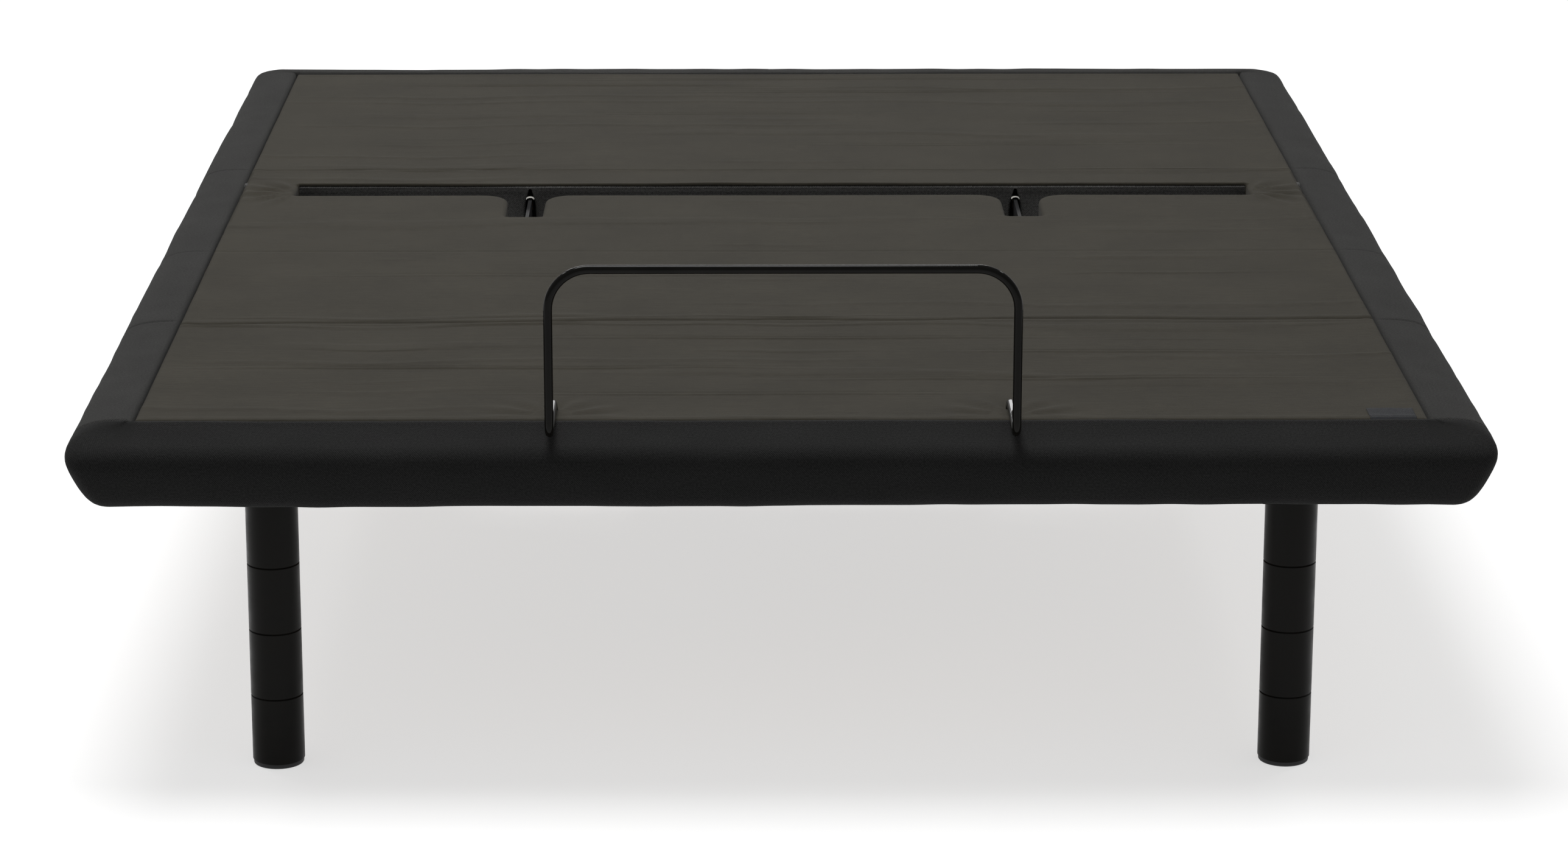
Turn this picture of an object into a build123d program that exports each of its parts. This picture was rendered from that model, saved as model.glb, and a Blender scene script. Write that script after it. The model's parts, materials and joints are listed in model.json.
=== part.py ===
"""Adjustable bed base: four upholstered sections on a steel chassis, with two linear motors.

Millimetres. +X is to the right seen from the foot end, +Y points to the head, +Z is up.
The origin is at floor level under the middle of the bed.
"""

from build123d import *
import math
import os

# Overall size
LENGTH = 2032.0
WIDTH = 1524.0
DECK_TOP = 393.0
SKIRT_BOTTOM = 312.0
FOOT_END = -LENGTH / 2
HEAD_END = LENGTH / 2
HALF_WIDTH = WIDTH / 2

# Fold lines and pivots, as (y, z)
HEAD_PIVOT = (70.0, 338.0)
THIGH_PIVOT = (-173.0, 362.0)
KNEE_PIVOT = (-520.0, 362.0)

# Deck layers
BOARD_Z = 354.0
BOARD_THICK = 15.0
PAD_Z = BOARD_Z + BOARD_THICK
BOARD_HALF_WIDTH = 741.0
SKIRT_THICK = 20.0
SKIRT_GAP = 1.0
SEAT_REAR = 142.0
HEAD_FRONT = 210.0
HEAD_FACE_THICK = 15.0
FOLD_GAP = 15.0
PIN_GAP = 3.0
KNEE_GAP_AT_BOTTOM = 22.0
END_SLOPE_START = -950.0
END_SLOPE_DROP = 10.0
HEAD_LAYER_Y = (HEAD_FRONT + HEAD_FACE_THICK + SKIRT_GAP, HEAD_END - SKIRT_THICK - SKIRT_GAP)

# Skirt section: the roll's outer points and the lip under the boards
ROLL_TOP = (755.0, DECK_TOP - 1)
ROLL_WIDEST_Z = 376.0
ROLL_BOTTOM_X = 748.0
SKIRT_LIP = 14.0
CORNER_RADIUS = 16.0
FOOT_KNEE = [(5.0, 373.0), (0.0, 366.0), (0.0, 350.0)]
FOOT_TOP_Z = 382.0
FOOT_LEAN = 7.0
FACE_LOWER_HALF_WIDTH = 534.0

# Notches in the rear edge of the seat, where the head arms stand
NOTCH_X = 320.0
NOTCH_WIDTH = 50.0
NOTCH_BASE_Y = 20.0
NOTCH_MOUTH_RADIUS = 36.0
NOTCH_BASE_RADIUS = 6.0
SLIT_WIDTH = 18.0
SLIT_TOP = 387.0

# Chassis
RAIL_X = 553.0
RAIL_WIDTH = 30.0
RAIL_HEIGHT = 38.0
RAIL_BOTTOM = 309.0
RAIL_END = 960.0
RAIL_WALL = 2.0
CROSS_WIDTH = 40.0
CROSS_HEIGHT = 18.0
SEAT_REAR_CROSS_Y = 5.0
SEAT_FRONT_CROSS_Y = -112.0
HEAD_MOTOR_CROSS_Y = -430.0
FOOT_MOTOR_CROSS_Y = 350.0
END_CROSS_Y = 930.0

# Section frames
FRAME_TUBE = 25.0
FRAME_WALL = 1.5
FRAME_X = 507.5
FRAME_TOP = BOARD_Z
FRAME_Z = FRAME_TOP - FRAME_TUBE / 2
HINGE_TUBE_OFFSET = 40.0
HEAD_FRAME_MIDDLE_Y = 600.0
HEAD_FRAME_LAST_Y = 960.0
CALF_FRAME_MIDDLE_Y = -770.0
CALF_FRAME_LAST_Y = -975.0

# Hinges
HINGE_STATIONS = (-440.0, -200.0, 200.0, 440.0)
EAR_THICK = 5.0
EAR_RADIUS = 12.0
EAR_CLEARANCE = 0.5
PIN_RADIUS = 4.0
RUNNING = 0.05

# Head arms
ARM_X = 318.5
ARM_THICK = 4.5
ARM_TOP = 372.0
ARM_EYE_RADIUS = 29.0
BOLT_RADIUS = 6.0
BRACKET_X = 329.0
BRACKET_THICK = 6.0
TORSION_RADIUS = 12.0
TORSION_BORE = 10.0

# Cranks, rollers and motors
CRANK_LENGTH = 110.0
CRANK_THICK = 6.0
CRANK_GAP = 26.0
ROLLER_RADIUS = 14.0
ROLLER_WIDTH = 18.0
SHOE_GAP = 1.5
SHOE_THICK = 10.0
SHOE_WIDTH = 20.0
SHOE_HEIGHT = 54.0
HEAD_RANGE = 60.0
THIGH_RANGE = 40.0
HEAD_MOTOR_X = -120.0
FOOT_MOTOR_X = 120.0
HEAD_MOTOR_Z = 236.0
FOOT_MOTOR_Z = 250.0
ROD_RADIUS = 9.0
ROD_LENGTH = 290.0
TUBE_RADIUS = 19.0
TUBE_BORE = 16.0
TUBE_BUSH_LENGTH = 30.0
GEARBOX_SIZE = 60.0
GEARBOX_LENGTH = 70.0
CAN_RADIUS = 24.0
CAN_LENGTH = 100.0
HANGER_WIDTH = 50.0
HANGER_THICK = 6.0

# Calf links
LINK_OFFSET = (-313.0, -40.0)
LINK_X = 526.0
LINK_THICK = 6.0
LINK_EYE_RADIUS = 12.5
LINK_PIN_RADIUS = 6.0
LINK_OPEN_PIN_RADIUS = 5.0

# Legs
LEG_X = RAIL_X
LEG_Y = 930.0
LEG_RADIUS = 28.5
SEGMENT_HEIGHT = 75.0
SEGMENTS_PER_LEG = 4
SEGMENT_CHAMFER = 1.0
GLIDE_HEIGHT = 5.0
GLIDE_RADIUS = 27.5
STUD_RADIUS = 5.0
MOUNT_PLATE = 80.0
LEG_TOP = GLIDE_HEIGHT + SEGMENTS_PER_LEG * SEGMENT_HEIGHT

# Mattress retainer bar
BAR_X = 248.0
BAR_RADIUS = 4.8
BAR_Y = -1011.0
BAR_REST_Z = 400.0
BAR_FRONT_Z = 393.0
BAR_TOP = 576.0
BAR_TIP = 345.0
SOCKET_Y = -892.0
BAR_TOP_BEND = 44.0
BAR_FOOT_BEND = 14.0
BAR_EDGE_BEND = 60.0
SOCKET_RADIUS = 11.0
SOCKET_FLANGE_RADIUS = 16.0
SOCKET_BOTTOM = 335.0
SOCKET_FLANGE = 2.5

# Tag sewn on the deck
TAG_X = (633.0, 683.0)
TAG_LENGTH = 40.0
TAG_THICK = 0.8
TAG_GAP = 0.2

# Control box and motor leads
BOX_WIDTH = 120.0
BOX_FRONT = -125.0
BOX_REAR = 18.0
BOX_BASE_THICK = 9.0
BOX_BOTTOM = 262.0
LEAD_RADIUS = 4.0
HEAD_LEAD_ROUTE = [(-100, -370, 254), (-100, -300, 254), (-88, -225, 266)]
HEAD_LEAD_ROUTE += [(-30, -175, 283), (-30, -125, 283)]
FOOT_LEAD_ROUTE = [(100, 290, 268), (100, 215, 268), (88, 130, 281)]
FOOT_LEAD_ROUTE += [(34, 70, 284), (34, 18, 284)]

os.makedirs("parts", exist_ok=True)


def save(part, label):
    """Label a finished piece and write it as one STEP file."""
    part.label = label
    export_step(part, f"parts/{label}.step")


def save_group(solids, label):
    """Write separate solids of one kind as one node."""
    save(Compound(children=list(solids)), label)


def block(xs, ys, zs):
    """A plain block between two limits on each axis."""
    with BuildPart() as made:
        with BuildSketch(Plane.XY.offset(zs[0])):
            with Locations(((xs[0] + xs[1]) / 2, (ys[0] + ys[1]) / 2)):
                Rectangle(xs[1] - xs[0], ys[1] - ys[0])
        extrude(amount=zs[1] - zs[0])
    return made.part


def tube_along_y(centre, size, wall, ys):
    """A rectangular tube along Y; centre and size are (x, z)."""
    with BuildPart() as made:
        with BuildSketch(Plane.XZ.offset(-ys[1])):
            with Locations(centre):
                Rectangle(*size)
                Rectangle(size[0] - 2 * wall, size[1] - 2 * wall, mode=Mode.SUBTRACT)
        extrude(amount=ys[1] - ys[0])
    return made.part


def tube_along_x(centre, size, wall, xs):
    """A rectangular tube along X; centre and size are (y, z)."""
    with BuildPart() as made:
        with BuildSketch(Plane.YZ.offset(xs[0])):
            with Locations(centre):
                Rectangle(*size)
                Rectangle(size[0] - 2 * wall, size[1] - 2 * wall, mode=Mode.SUBTRACT)
        extrude(amount=xs[1] - xs[0])
    return made.part


def ear_plate(x, pivot, outline):
    """A flat plate across X with an eye on a pivot; outline is its foot as (y, z) points."""
    with BuildPart() as made:
        with BuildSketch(Plane.YZ.offset(x)):
            with BuildLine():
                Polyline(*outline, close=True)
            make_face()
            with Locations(pivot):
                Circle(EAR_RADIUS)
                Circle(PIN_RADIUS + RUNNING, mode=Mode.SUBTRACT)
        extrude(amount=EAR_THICK)
    return made.part


def round_pin(x0, x1, centre, radius):
    """A plain pin along X."""
    with BuildPart() as made:
        with BuildSketch(Plane.YZ.offset(x0)):
            with Locations(centre):
                Circle(radius)
        extrude(amount=x1 - x0)
    return made.part


def turned(point, pivot, degrees):
    """A (y, z) offset from a pivot, turned so that a positive angle lifts the +Y side."""
    angle = math.radians(degrees)
    y = point[0] * math.cos(angle) - point[1] * math.sin(angle)
    z = point[0] * math.sin(angle) + point[1] * math.cos(angle)
    return (pivot[0] + y, pivot[1] + z)


# The roller hangs below its pivot and swings evenly to both sides over the travel.
HEAD_ROLLER = turned((0, -CRANK_LENGTH), HEAD_PIVOT, -HEAD_RANGE / 2)
THIGH_ROLLER = turned((0, -CRANK_LENGTH), THIGH_PIVOT, THIGH_RANGE / 2)
LINK_FRONT = (THIGH_PIVOT[0] + LINK_OFFSET[0], THIGH_PIVOT[1] + LINK_OFFSET[1])
LINK_REAR = (KNEE_PIVOT[0] + LINK_OFFSET[0], KNEE_PIVOT[1] + LINK_OFFSET[1])


# ---------------------------------------------------------------- chassis


def build_rails():
    """Two long rails carry everything."""
    centre_z = RAIL_BOTTOM + RAIL_HEIGHT / 2
    for side, name in ((-1, "rail_left"), (1, "rail_right")):
        size = (RAIL_WIDTH, RAIL_HEIGHT)
        rail = tube_along_y((side * RAIL_X, centre_z), size, RAIL_WALL, (-RAIL_END, RAIL_END))
        save(rail, name)


def build_cross_tubes():
    """Six cross tubes join the rails."""
    inner = RAIL_X - RAIL_WIDTH / 2
    rows = (-END_CROSS_Y, HEAD_MOTOR_CROSS_Y, SEAT_FRONT_CROSS_Y)
    rows += (SEAT_REAR_CROSS_Y, FOOT_MOTOR_CROSS_Y, END_CROSS_Y)
    centre_z = RAIL_BOTTOM + CROSS_HEIGHT / 2
    tubes = []
    for y in rows:
        tubes.append(tube_along_x((y, centre_z), (CROSS_WIDTH, CROSS_HEIGHT), RAIL_WALL, (-inner, inner)))
    save_group(tubes, "chassis_cross_tubes")


def build_end_caps():
    """A plastic cap closes each rail end."""
    cap_thick = 3.0
    plug_depth = 14.0
    fit = RAIL_WALL + 0.2
    caps = []
    for x in (-RAIL_X, RAIL_X):
        for end in (-1, 1):
            with BuildPart() as cap:
                with BuildSketch(Plane.XZ.offset(-end * RAIL_END)):
                    with Locations((x, RAIL_BOTTOM + RAIL_HEIGHT / 2)):
                        Rectangle(RAIL_WIDTH, RAIL_HEIGHT)
                extrude(amount=-end * cap_thick)
                with BuildSketch(Plane.XZ.offset(-end * RAIL_END)):
                    with Locations((x, RAIL_BOTTOM + RAIL_HEIGHT / 2)):
                        Rectangle(RAIL_WIDTH - 2 * fit, RAIL_HEIGHT - 2 * fit)
                extrude(amount=end * plug_depth)
                chamfer(cap.faces().sort_by(Axis.Y)[0 if end < 0 else -1].edges(), 1.0)
            caps.append(cap.part)
    save_group(caps, "rail_end_caps")


def build_leg_mounts():
    """A plate under each rail end carries the stud that the leg segments thread on."""
    mounts = []
    for x in (-LEG_X, LEG_X):
        for y in (-LEG_Y, LEG_Y):
            with BuildPart() as mount:
                with BuildSketch(Plane.XY.offset(LEG_TOP)):
                    with Locations((x, y)):
                        RectangleRounded(MOUNT_PLATE, MOUNT_PLATE, 8)
                extrude(amount=RAIL_BOTTOM - LEG_TOP)
                with BuildSketch(Plane.XY.offset(LEG_TOP)):
                    with Locations((x, y)):
                        Circle(STUD_RADIUS)
                extrude(amount=-(LEG_TOP - 3 * GLIDE_HEIGHT))
            mounts.append(mount.part)
    save_group(mounts, "leg_mounts")


def leg_segment(x, y, bottom):
    """One turned leg segment with a bore for the stud."""
    with BuildPart() as segment:
        with BuildSketch(Plane.XY.offset(bottom)):
            with Locations((x, y)):
                Circle(LEG_RADIUS)
                Circle(STUD_RADIUS + RUNNING, mode=Mode.SUBTRACT)
        extrude(amount=SEGMENT_HEIGHT)
        rims = segment.edges().filter_by(GeomType.CIRCLE).group_by(SortBy.RADIUS)[-1]
        chamfer(rims, SEGMENT_CHAMFER)
    return segment.part


def build_legs():
    """Each leg is a stack of four segments on a glide."""
    glides = []
    for y, name in ((-LEG_Y, "legs_front"), (LEG_Y, "legs_rear")):
        segments = []
        for x in (-LEG_X, LEG_X):
            for level in range(SEGMENTS_PER_LEG):
                segments.append(leg_segment(x, y, GLIDE_HEIGHT + level * SEGMENT_HEIGHT))
            with BuildPart() as glide:
                with BuildSketch():
                    with Locations((x, y)):
                        Circle(GLIDE_RADIUS)
                extrude(amount=GLIDE_HEIGHT)
                fillet(glide.faces().sort_by(Axis.Z)[0].edges(), 2.0)
            glides.append(glide.part)
        save_group(segments, name)
    save_group(glides, "leg_glides")


def build_headboard_brackets():
    """Two drop plates on the head cross tube take a headboard."""
    plate_x = 400.0
    plate_width = 60.0
    plate_bottom = 229.0
    plate_thick = 5.0
    hole_radius = 4.5
    hole_centre_z = 268.0
    face_y = END_CROSS_Y + CROSS_WIDTH / 2
    plates = []
    for x in (-plate_x, plate_x):
        with BuildPart() as plate:
            with BuildSketch(Plane.XZ.offset(-face_y - plate_thick)):
                top = RAIL_BOTTOM + CROSS_HEIGHT
                with Locations((x, (plate_bottom + top) / 2)):
                    Rectangle(plate_width, top - plate_bottom)
                with Locations((x, hole_centre_z)):
                    with GridLocations(40, 50, 2, 2):
                        Circle(hole_radius, mode=Mode.SUBTRACT)
            extrude(amount=plate_thick)
        plates.append(plate.part)
    save_group(plates, "headboard_brackets")


def build_bumpers():
    """Rubber bumpers carry the lowered sections; taller ones hold the seat board."""
    radius = 12.0
    rail_top = RAIL_BOTTOM + RAIL_HEIGHT
    full = BOARD_Z - rail_top
    rows = [(900, full - 0.4), (560, full - 0.4), (250, full - 0.4), (120, full), (0, full), (-130, full)]
    rows += [(-230, full - 0.4), (-460, full - 0.4), (-600, full - 0.4), (-940, full - 0.4)]
    bumpers = []
    for x in (-RAIL_X, RAIL_X):
        for y, height in rows:
            with BuildPart() as bumper:
                with BuildSketch(Plane.XY.offset(rail_top)):
                    with Locations((x, y)):
                        Circle(radius)
                extrude(amount=height)
            bumpers.append(bumper.part)
    save_group(bumpers, "rest_bumpers")


# ---------------------------------------------------------------- deck boards and pads


def slab(ys, zs, half_width=BOARD_HALF_WIDTH):
    """One layer of a deck section."""
    return block((-half_width, half_width), ys, zs)


def seat_layer(rear, zs, name, mouth_radius):
    """Seat layer with the two notches for the head arms."""
    front = THIGH_PIVOT[0] + FOLD_GAP
    with BuildPart() as layer:
        with BuildSketch(Plane.XY.offset(zs[0])) as plan:
            with Locations((0, (front + rear) / 2)):
                Rectangle(2 * BOARD_HALF_WIDTH, rear - front)
            with Locations((-NOTCH_X, (NOTCH_BASE_Y + rear) / 2), (NOTCH_X, (NOTCH_BASE_Y + rear) / 2)):
                Rectangle(NOTCH_WIDTH, rear - NOTCH_BASE_Y, mode=Mode.SUBTRACT)
            near = [v for v in plan.vertices() if abs(abs(v.X) - NOTCH_X) < NOTCH_WIDTH]
            fillet([v for v in near if v.Y > rear - 1], mouth_radius)
            near = [v for v in plan.vertices() if abs(abs(v.X) - NOTCH_X) < NOTCH_WIDTH]
            fillet([v for v in near if abs(v.Y - NOTCH_BASE_Y) < 1], NOTCH_BASE_RADIUS)
        extrude(amount=zs[1] - zs[0])
    save(layer.part, name)


def build_boards():
    """Plywood boards under the pads."""
    zs = (BOARD_Z, PAD_Z)
    seat_layer(SEAT_REAR - 4, zs, "board_seat", NOTCH_MOUTH_RADIUS)
    save(slab(HEAD_LAYER_Y, zs), "board_head")
    save(slab((KNEE_PIVOT[0] + FOLD_GAP, THIGH_PIVOT[0] - FOLD_GAP), zs), "board_thigh")
    with BuildPart() as board:
        add(slab((FOOT_END + SKIRT_THICK + SKIRT_GAP, KNEE_PIVOT[0] - FOLD_GAP), zs))
        with BuildSketch(Plane.XY.offset(zs[0])):
            with Locations((-BAR_X, SOCKET_Y), (BAR_X, SOCKET_Y)):
                Circle(SOCKET_RADIUS + RUNNING)
        extrude(amount=BOARD_THICK, mode=Mode.SUBTRACT)
    save(board.part, "board_calf")


def build_pads():
    """Foam pads on the boards."""
    zs = (PAD_Z, DECK_TOP)
    seat_layer(SEAT_REAR, zs, "pad_seat", NOTCH_MOUTH_RADIUS)
    save(slab(HEAD_LAYER_Y, zs), "pad_head")
    save(slab((KNEE_PIVOT[0] + FOLD_GAP, THIGH_PIVOT[0] - FOLD_GAP), zs), "pad_thigh")
    front = FOOT_END + SKIRT_THICK + SKIRT_GAP
    rear = KNEE_PIVOT[0] - FOLD_GAP
    with BuildPart() as pad:
        with BuildSketch(Plane.YZ.offset(-BOARD_HALF_WIDTH)):
            with BuildLine():
                slope = [(END_SLOPE_START, DECK_TOP), (front, DECK_TOP - END_SLOPE_DROP)]
                Polyline((front, PAD_Z), (rear, PAD_Z), (rear, DECK_TOP), *slope, close=True)
            make_face()
        extrude(amount=2 * BOARD_HALF_WIDTH)
        with BuildSketch(Plane.XY.offset(PAD_Z)):
            with Locations((-BAR_X, SOCKET_Y), (BAR_X, SOCKET_Y)):
                Circle(SOCKET_FLANGE_RADIUS + 1)
        extrude(amount=DECK_TOP - PAD_Z, mode=Mode.SUBTRACT)
        with BuildSketch(Plane.XY.offset(DECK_TOP - TAG_THICK - TAG_GAP)):
            with Locations((sum(TAG_X) / 2, END_SLOPE_START + TAG_LENGTH / 2)):
                Rectangle(TAG_X[1] - TAG_X[0] + 2 * TAG_GAP, TAG_LENGTH + 2 * TAG_GAP)
        extrude(amount=TAG_THICK + TAG_GAP, mode=Mode.SUBTRACT)
    save(pad.part, "pad_calf")


# ---------------------------------------------------------------- skirts


def side_skirt(side, outline):
    """Foam skirt along one side; outline is its side view as (y, z) points."""
    inner = BOARD_HALF_WIDTH + SKIRT_GAP
    lip = inner - SKIRT_LIP
    ys = [point[0] for point in outline]
    section = [(inner, DECK_TOP), ROLL_TOP, (HALF_WIDTH, ROLL_WIDEST_Z), (ROLL_BOTTOM_X, SKIRT_BOTTOM)]
    section += [(lip, SKIRT_BOTTOM), (lip, BOARD_Z - 2), (inner, BOARD_Z - 2)]
    with BuildPart() as skirt:
        with BuildSketch(Plane.XZ.offset(-max(ys))):
            with BuildLine():
                Polyline(*[(side * x, z) for x, z in section], close=True)
            make_face()
        extrude(amount=max(ys) - min(ys))
        with BuildSketch(Plane.YZ.offset(min(side * lip, side * HALF_WIDTH))):
            with BuildLine():
                Polyline(*outline, close=True)
            make_face()
        extrude(amount=HALF_WIDTH - lip, mode=Mode.INTERSECT)
    return skirt.part


def thigh_fold_edge(sign):
    """Skirt end at the seat and thigh fold: wide at the top, where the fold closes."""
    y = THIGH_PIVOT[0]
    narrow = y + sign * PIN_GAP
    return [(y + sign * FOLD_GAP, DECK_TOP), (narrow, THIGH_PIVOT[1]), (narrow, SKIRT_BOTTOM)]


def knee_fold_edge(sign):
    """Skirt end at the knee: wide at the bottom, where the fold closes."""
    y = KNEE_PIVOT[0]
    wide = y + sign * KNEE_GAP_AT_BOTTOM
    return [(y + sign * PIN_GAP, DECK_TOP), (y + sign * PIN_GAP, KNEE_PIVOT[1]), (wide, SKIRT_BOTTOM)]


def build_side_skirts():
    """Side skirts of the four sections, each pair in one node."""
    rear = HEAD_END - SKIRT_THICK - SKIRT_GAP
    front = FOOT_END + SKIRT_THICK + SKIRT_GAP
    head = [(HEAD_FRONT, SKIRT_BOTTOM), (rear, SKIRT_BOTTOM), (rear, DECK_TOP), (HEAD_FRONT, DECK_TOP)]
    seat = [(SEAT_REAR, SKIRT_BOTTOM), (SEAT_REAR, DECK_TOP)] + thigh_fold_edge(1)
    thigh = thigh_fold_edge(-1) + list(reversed(knee_fold_edge(1)))
    calf = knee_fold_edge(-1) + [(front, SKIRT_BOTTOM)]
    calf += [(front, DECK_TOP - END_SLOPE_DROP), (END_SLOPE_START, DECK_TOP)]
    for outline, name in ((head, "head"), (seat, "seat"), (thigh, "thigh"), (calf, "calf")):
        save_group([side_skirt(-1, outline), side_skirt(1, outline)], f"skirt_{name}_sides")


def build_end_skirts():
    """End skirts at the head and at the foot, and the face of the head section."""
    with BuildPart() as head_end:
        with BuildSketch(Plane.XY.offset(SKIRT_BOTTOM)) as plan:
            with Locations((0, HEAD_END - SKIRT_THICK / 2)):
                Rectangle(WIDTH, SKIRT_THICK)
            fillet(plan.vertices().group_by(Axis.Y)[-1], CORNER_RADIUS)
        extrude(amount=DECK_TOP - SKIRT_BOTTOM)
    save(head_end.part, "skirt_head_end")

    inner = FOOT_END + SKIRT_THICK
    outline = [(inner, SKIRT_BOTTOM), (inner, FOOT_TOP_Z)]
    outline += [(FOOT_END + back, z) for back, z in FOOT_KNEE]
    outline.append((FOOT_END + FOOT_LEAN, SKIRT_BOTTOM))
    with BuildPart() as foot_end:
        with BuildSketch(Plane.YZ.offset(-HALF_WIDTH)):
            with BuildLine():
                Polyline(*outline, close=True)
            make_face()
        extrude(amount=WIDTH)
        with BuildSketch(Plane.XY.offset(SKIRT_BOTTOM)) as plan:
            with Locations((0, FOOT_END + SKIRT_THICK / 2)):
                Rectangle(WIDTH, SKIRT_THICK)
            fillet(plan.vertices().group_by(Axis.Y)[0], CORNER_RADIUS)
        extrude(amount=DECK_TOP - SKIRT_BOTTOM, mode=Mode.INTERSECT)
    save(foot_end.part, "skirt_foot_end")

    arm_centre = ARM_X + ARM_THICK / 2
    upper_bottom = BOARD_Z - SKIRT_GAP
    with BuildPart() as face:
        with BuildSketch(Plane.XZ.offset(-HEAD_FRONT - HEAD_FACE_THICK)):
            with Locations((0, (DECK_TOP + upper_bottom) / 2)):
                Rectangle(2 * BOARD_HALF_WIDTH, DECK_TOP - upper_bottom)
            with Locations((0, (DECK_TOP + SKIRT_BOTTOM) / 2)):
                Rectangle(2 * FACE_LOWER_HALF_WIDTH, DECK_TOP - SKIRT_BOTTOM)
            for x in (-arm_centre, arm_centre):
                with Locations((x, (SKIRT_BOTTOM + SLIT_TOP - SLIT_WIDTH / 2) / 2)):
                    Rectangle(SLIT_WIDTH, SLIT_TOP - SLIT_WIDTH / 2 - SKIRT_BOTTOM, mode=Mode.SUBTRACT)
                with Locations((x, SLIT_TOP - SLIT_WIDTH / 2)):
                    Circle(SLIT_WIDTH / 2, mode=Mode.SUBTRACT)
        extrude(amount=HEAD_FACE_THICK)
    save(face.part, "skirt_head_face")


# ---------------------------------------------------------------- section frames


def section_frame(ys, rows, name):
    """Welded frame of square tubes under one section."""
    size = (FRAME_TUBE, FRAME_TUBE)
    inner = FRAME_X - FRAME_TUBE / 2
    tubes = [tube_along_y((x, FRAME_Z), size, FRAME_WALL, ys) for x in (-FRAME_X, FRAME_X)]
    tubes += [tube_along_x((y, FRAME_Z), size, FRAME_WALL, (-inner, inner)) for y in rows]
    save_group(tubes, name)


def build_section_frames():
    """Frames of the head, thigh and calf sections."""
    half = FRAME_TUBE / 2
    head_first = HEAD_FRONT + HEAD_FACE_THICK + half
    head_rows = (head_first, HEAD_FRAME_MIDDLE_Y, HEAD_FRAME_LAST_Y)
    section_frame((head_first - half, HEAD_FRAME_LAST_Y + half), head_rows, "head_frame")
    thigh_first = THIGH_PIVOT[0] - HINGE_TUBE_OFFSET
    thigh_last = KNEE_PIVOT[0] + HINGE_TUBE_OFFSET
    section_frame((thigh_last - half, thigh_first + half), (thigh_last, thigh_first), "thigh_frame")
    calf_first = KNEE_PIVOT[0] - HINGE_TUBE_OFFSET
    calf_rows = (CALF_FRAME_LAST_Y, CALF_FRAME_MIDDLE_Y, calf_first)
    section_frame((CALF_FRAME_LAST_Y - half, calf_first + half), calf_rows, "calf_frame")


def ear_outline(pivot, sign):
    """Foot of a hinge ear that stands on a section's cross tube; sign is the tube's side."""
    y, z = pivot
    tube_face = y + sign * (HINGE_TUBE_OFFSET - FRAME_TUBE / 2)
    points = [(y + sign * EAR_RADIUS, z), (y + sign * (EAR_RADIUS + 1), BOARD_Z - 2)]
    points += [(tube_face, BOARD_Z - 2), (tube_face, 330), (y + sign * 5, 332)]
    return points + [(y - sign * (EAR_RADIUS - 2), z - 6), (y - sign * EAR_RADIUS, z)]


def build_hinges():
    """Ears, brackets and pins of the thigh fold and the knee fold."""
    outer = EAR_THICK + EAR_CLEARANCE
    thigh_ears = []
    seat_brackets = []
    calf_ears = []
    thigh_pins = []
    knee_pins = []
    y, z = THIGH_PIVOT
    tube_rear = SEAT_FRONT_CROSS_Y + CROSS_WIDTH / 2
    tube_top = RAIL_BOTTOM + CROSS_HEIGHT
    bracket = [(y - EAR_RADIUS, z), (y - 4, tube_top), (tube_rear, tube_top), (tube_rear, 350)]
    bracket += [(y + EAR_RADIUS, 350), (y + EAR_RADIUS, z)]
    for x in HINGE_STATIONS:
        thigh_ears.append(ear_plate(x, THIGH_PIVOT, ear_outline(THIGH_PIVOT, -1)))
        thigh_ears.append(ear_plate(x, KNEE_PIVOT, ear_outline(KNEE_PIVOT, 1)))
        seat_brackets.append(ear_plate(x + outer, THIGH_PIVOT, bracket))
        calf_ears.append(ear_plate(x + outer, KNEE_PIVOT, ear_outline(KNEE_PIVOT, -1)))
        thigh_pins.append(round_pin(x - 4, x + outer + EAR_THICK + 4, THIGH_PIVOT, PIN_RADIUS))
        knee_pins.append(round_pin(x - 4, x + outer + EAR_THICK + 4, KNEE_PIVOT, PIN_RADIUS))
    save_group(thigh_ears, "thigh_hinge_ears")
    save_group(seat_brackets, "seat_hinge_brackets")
    save_group(thigh_pins, "thigh_hinge_pins")
    save_group(knee_pins, "knee_hinge_pins")
    calf_ears += [link_lug(-1), link_lug(1)]
    save_group(calf_ears, "calf_hinge_ears")


# ---------------------------------------------------------------- calf links


def link_lug(side):
    """Lug on the calf frame with the short pin that the link takes."""
    frame_face = FRAME_X + FRAME_TUBE / 2
    y, z = LINK_REAR
    with BuildPart() as lug:
        with BuildSketch(Plane.YZ.offset(side * frame_face)):
            with Locations((y, z + 5)):
                RectangleRounded(36, 36, 6)
        extrude(amount=side * EAR_THICK)
        with BuildSketch(Plane.YZ.offset(side * frame_face)):
            with Locations(LINK_REAR):
                Circle(LINK_OPEN_PIN_RADIUS)
        extrude(amount=side * (LINK_X + LINK_THICK + 1 - frame_face))
    return lug.part


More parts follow.
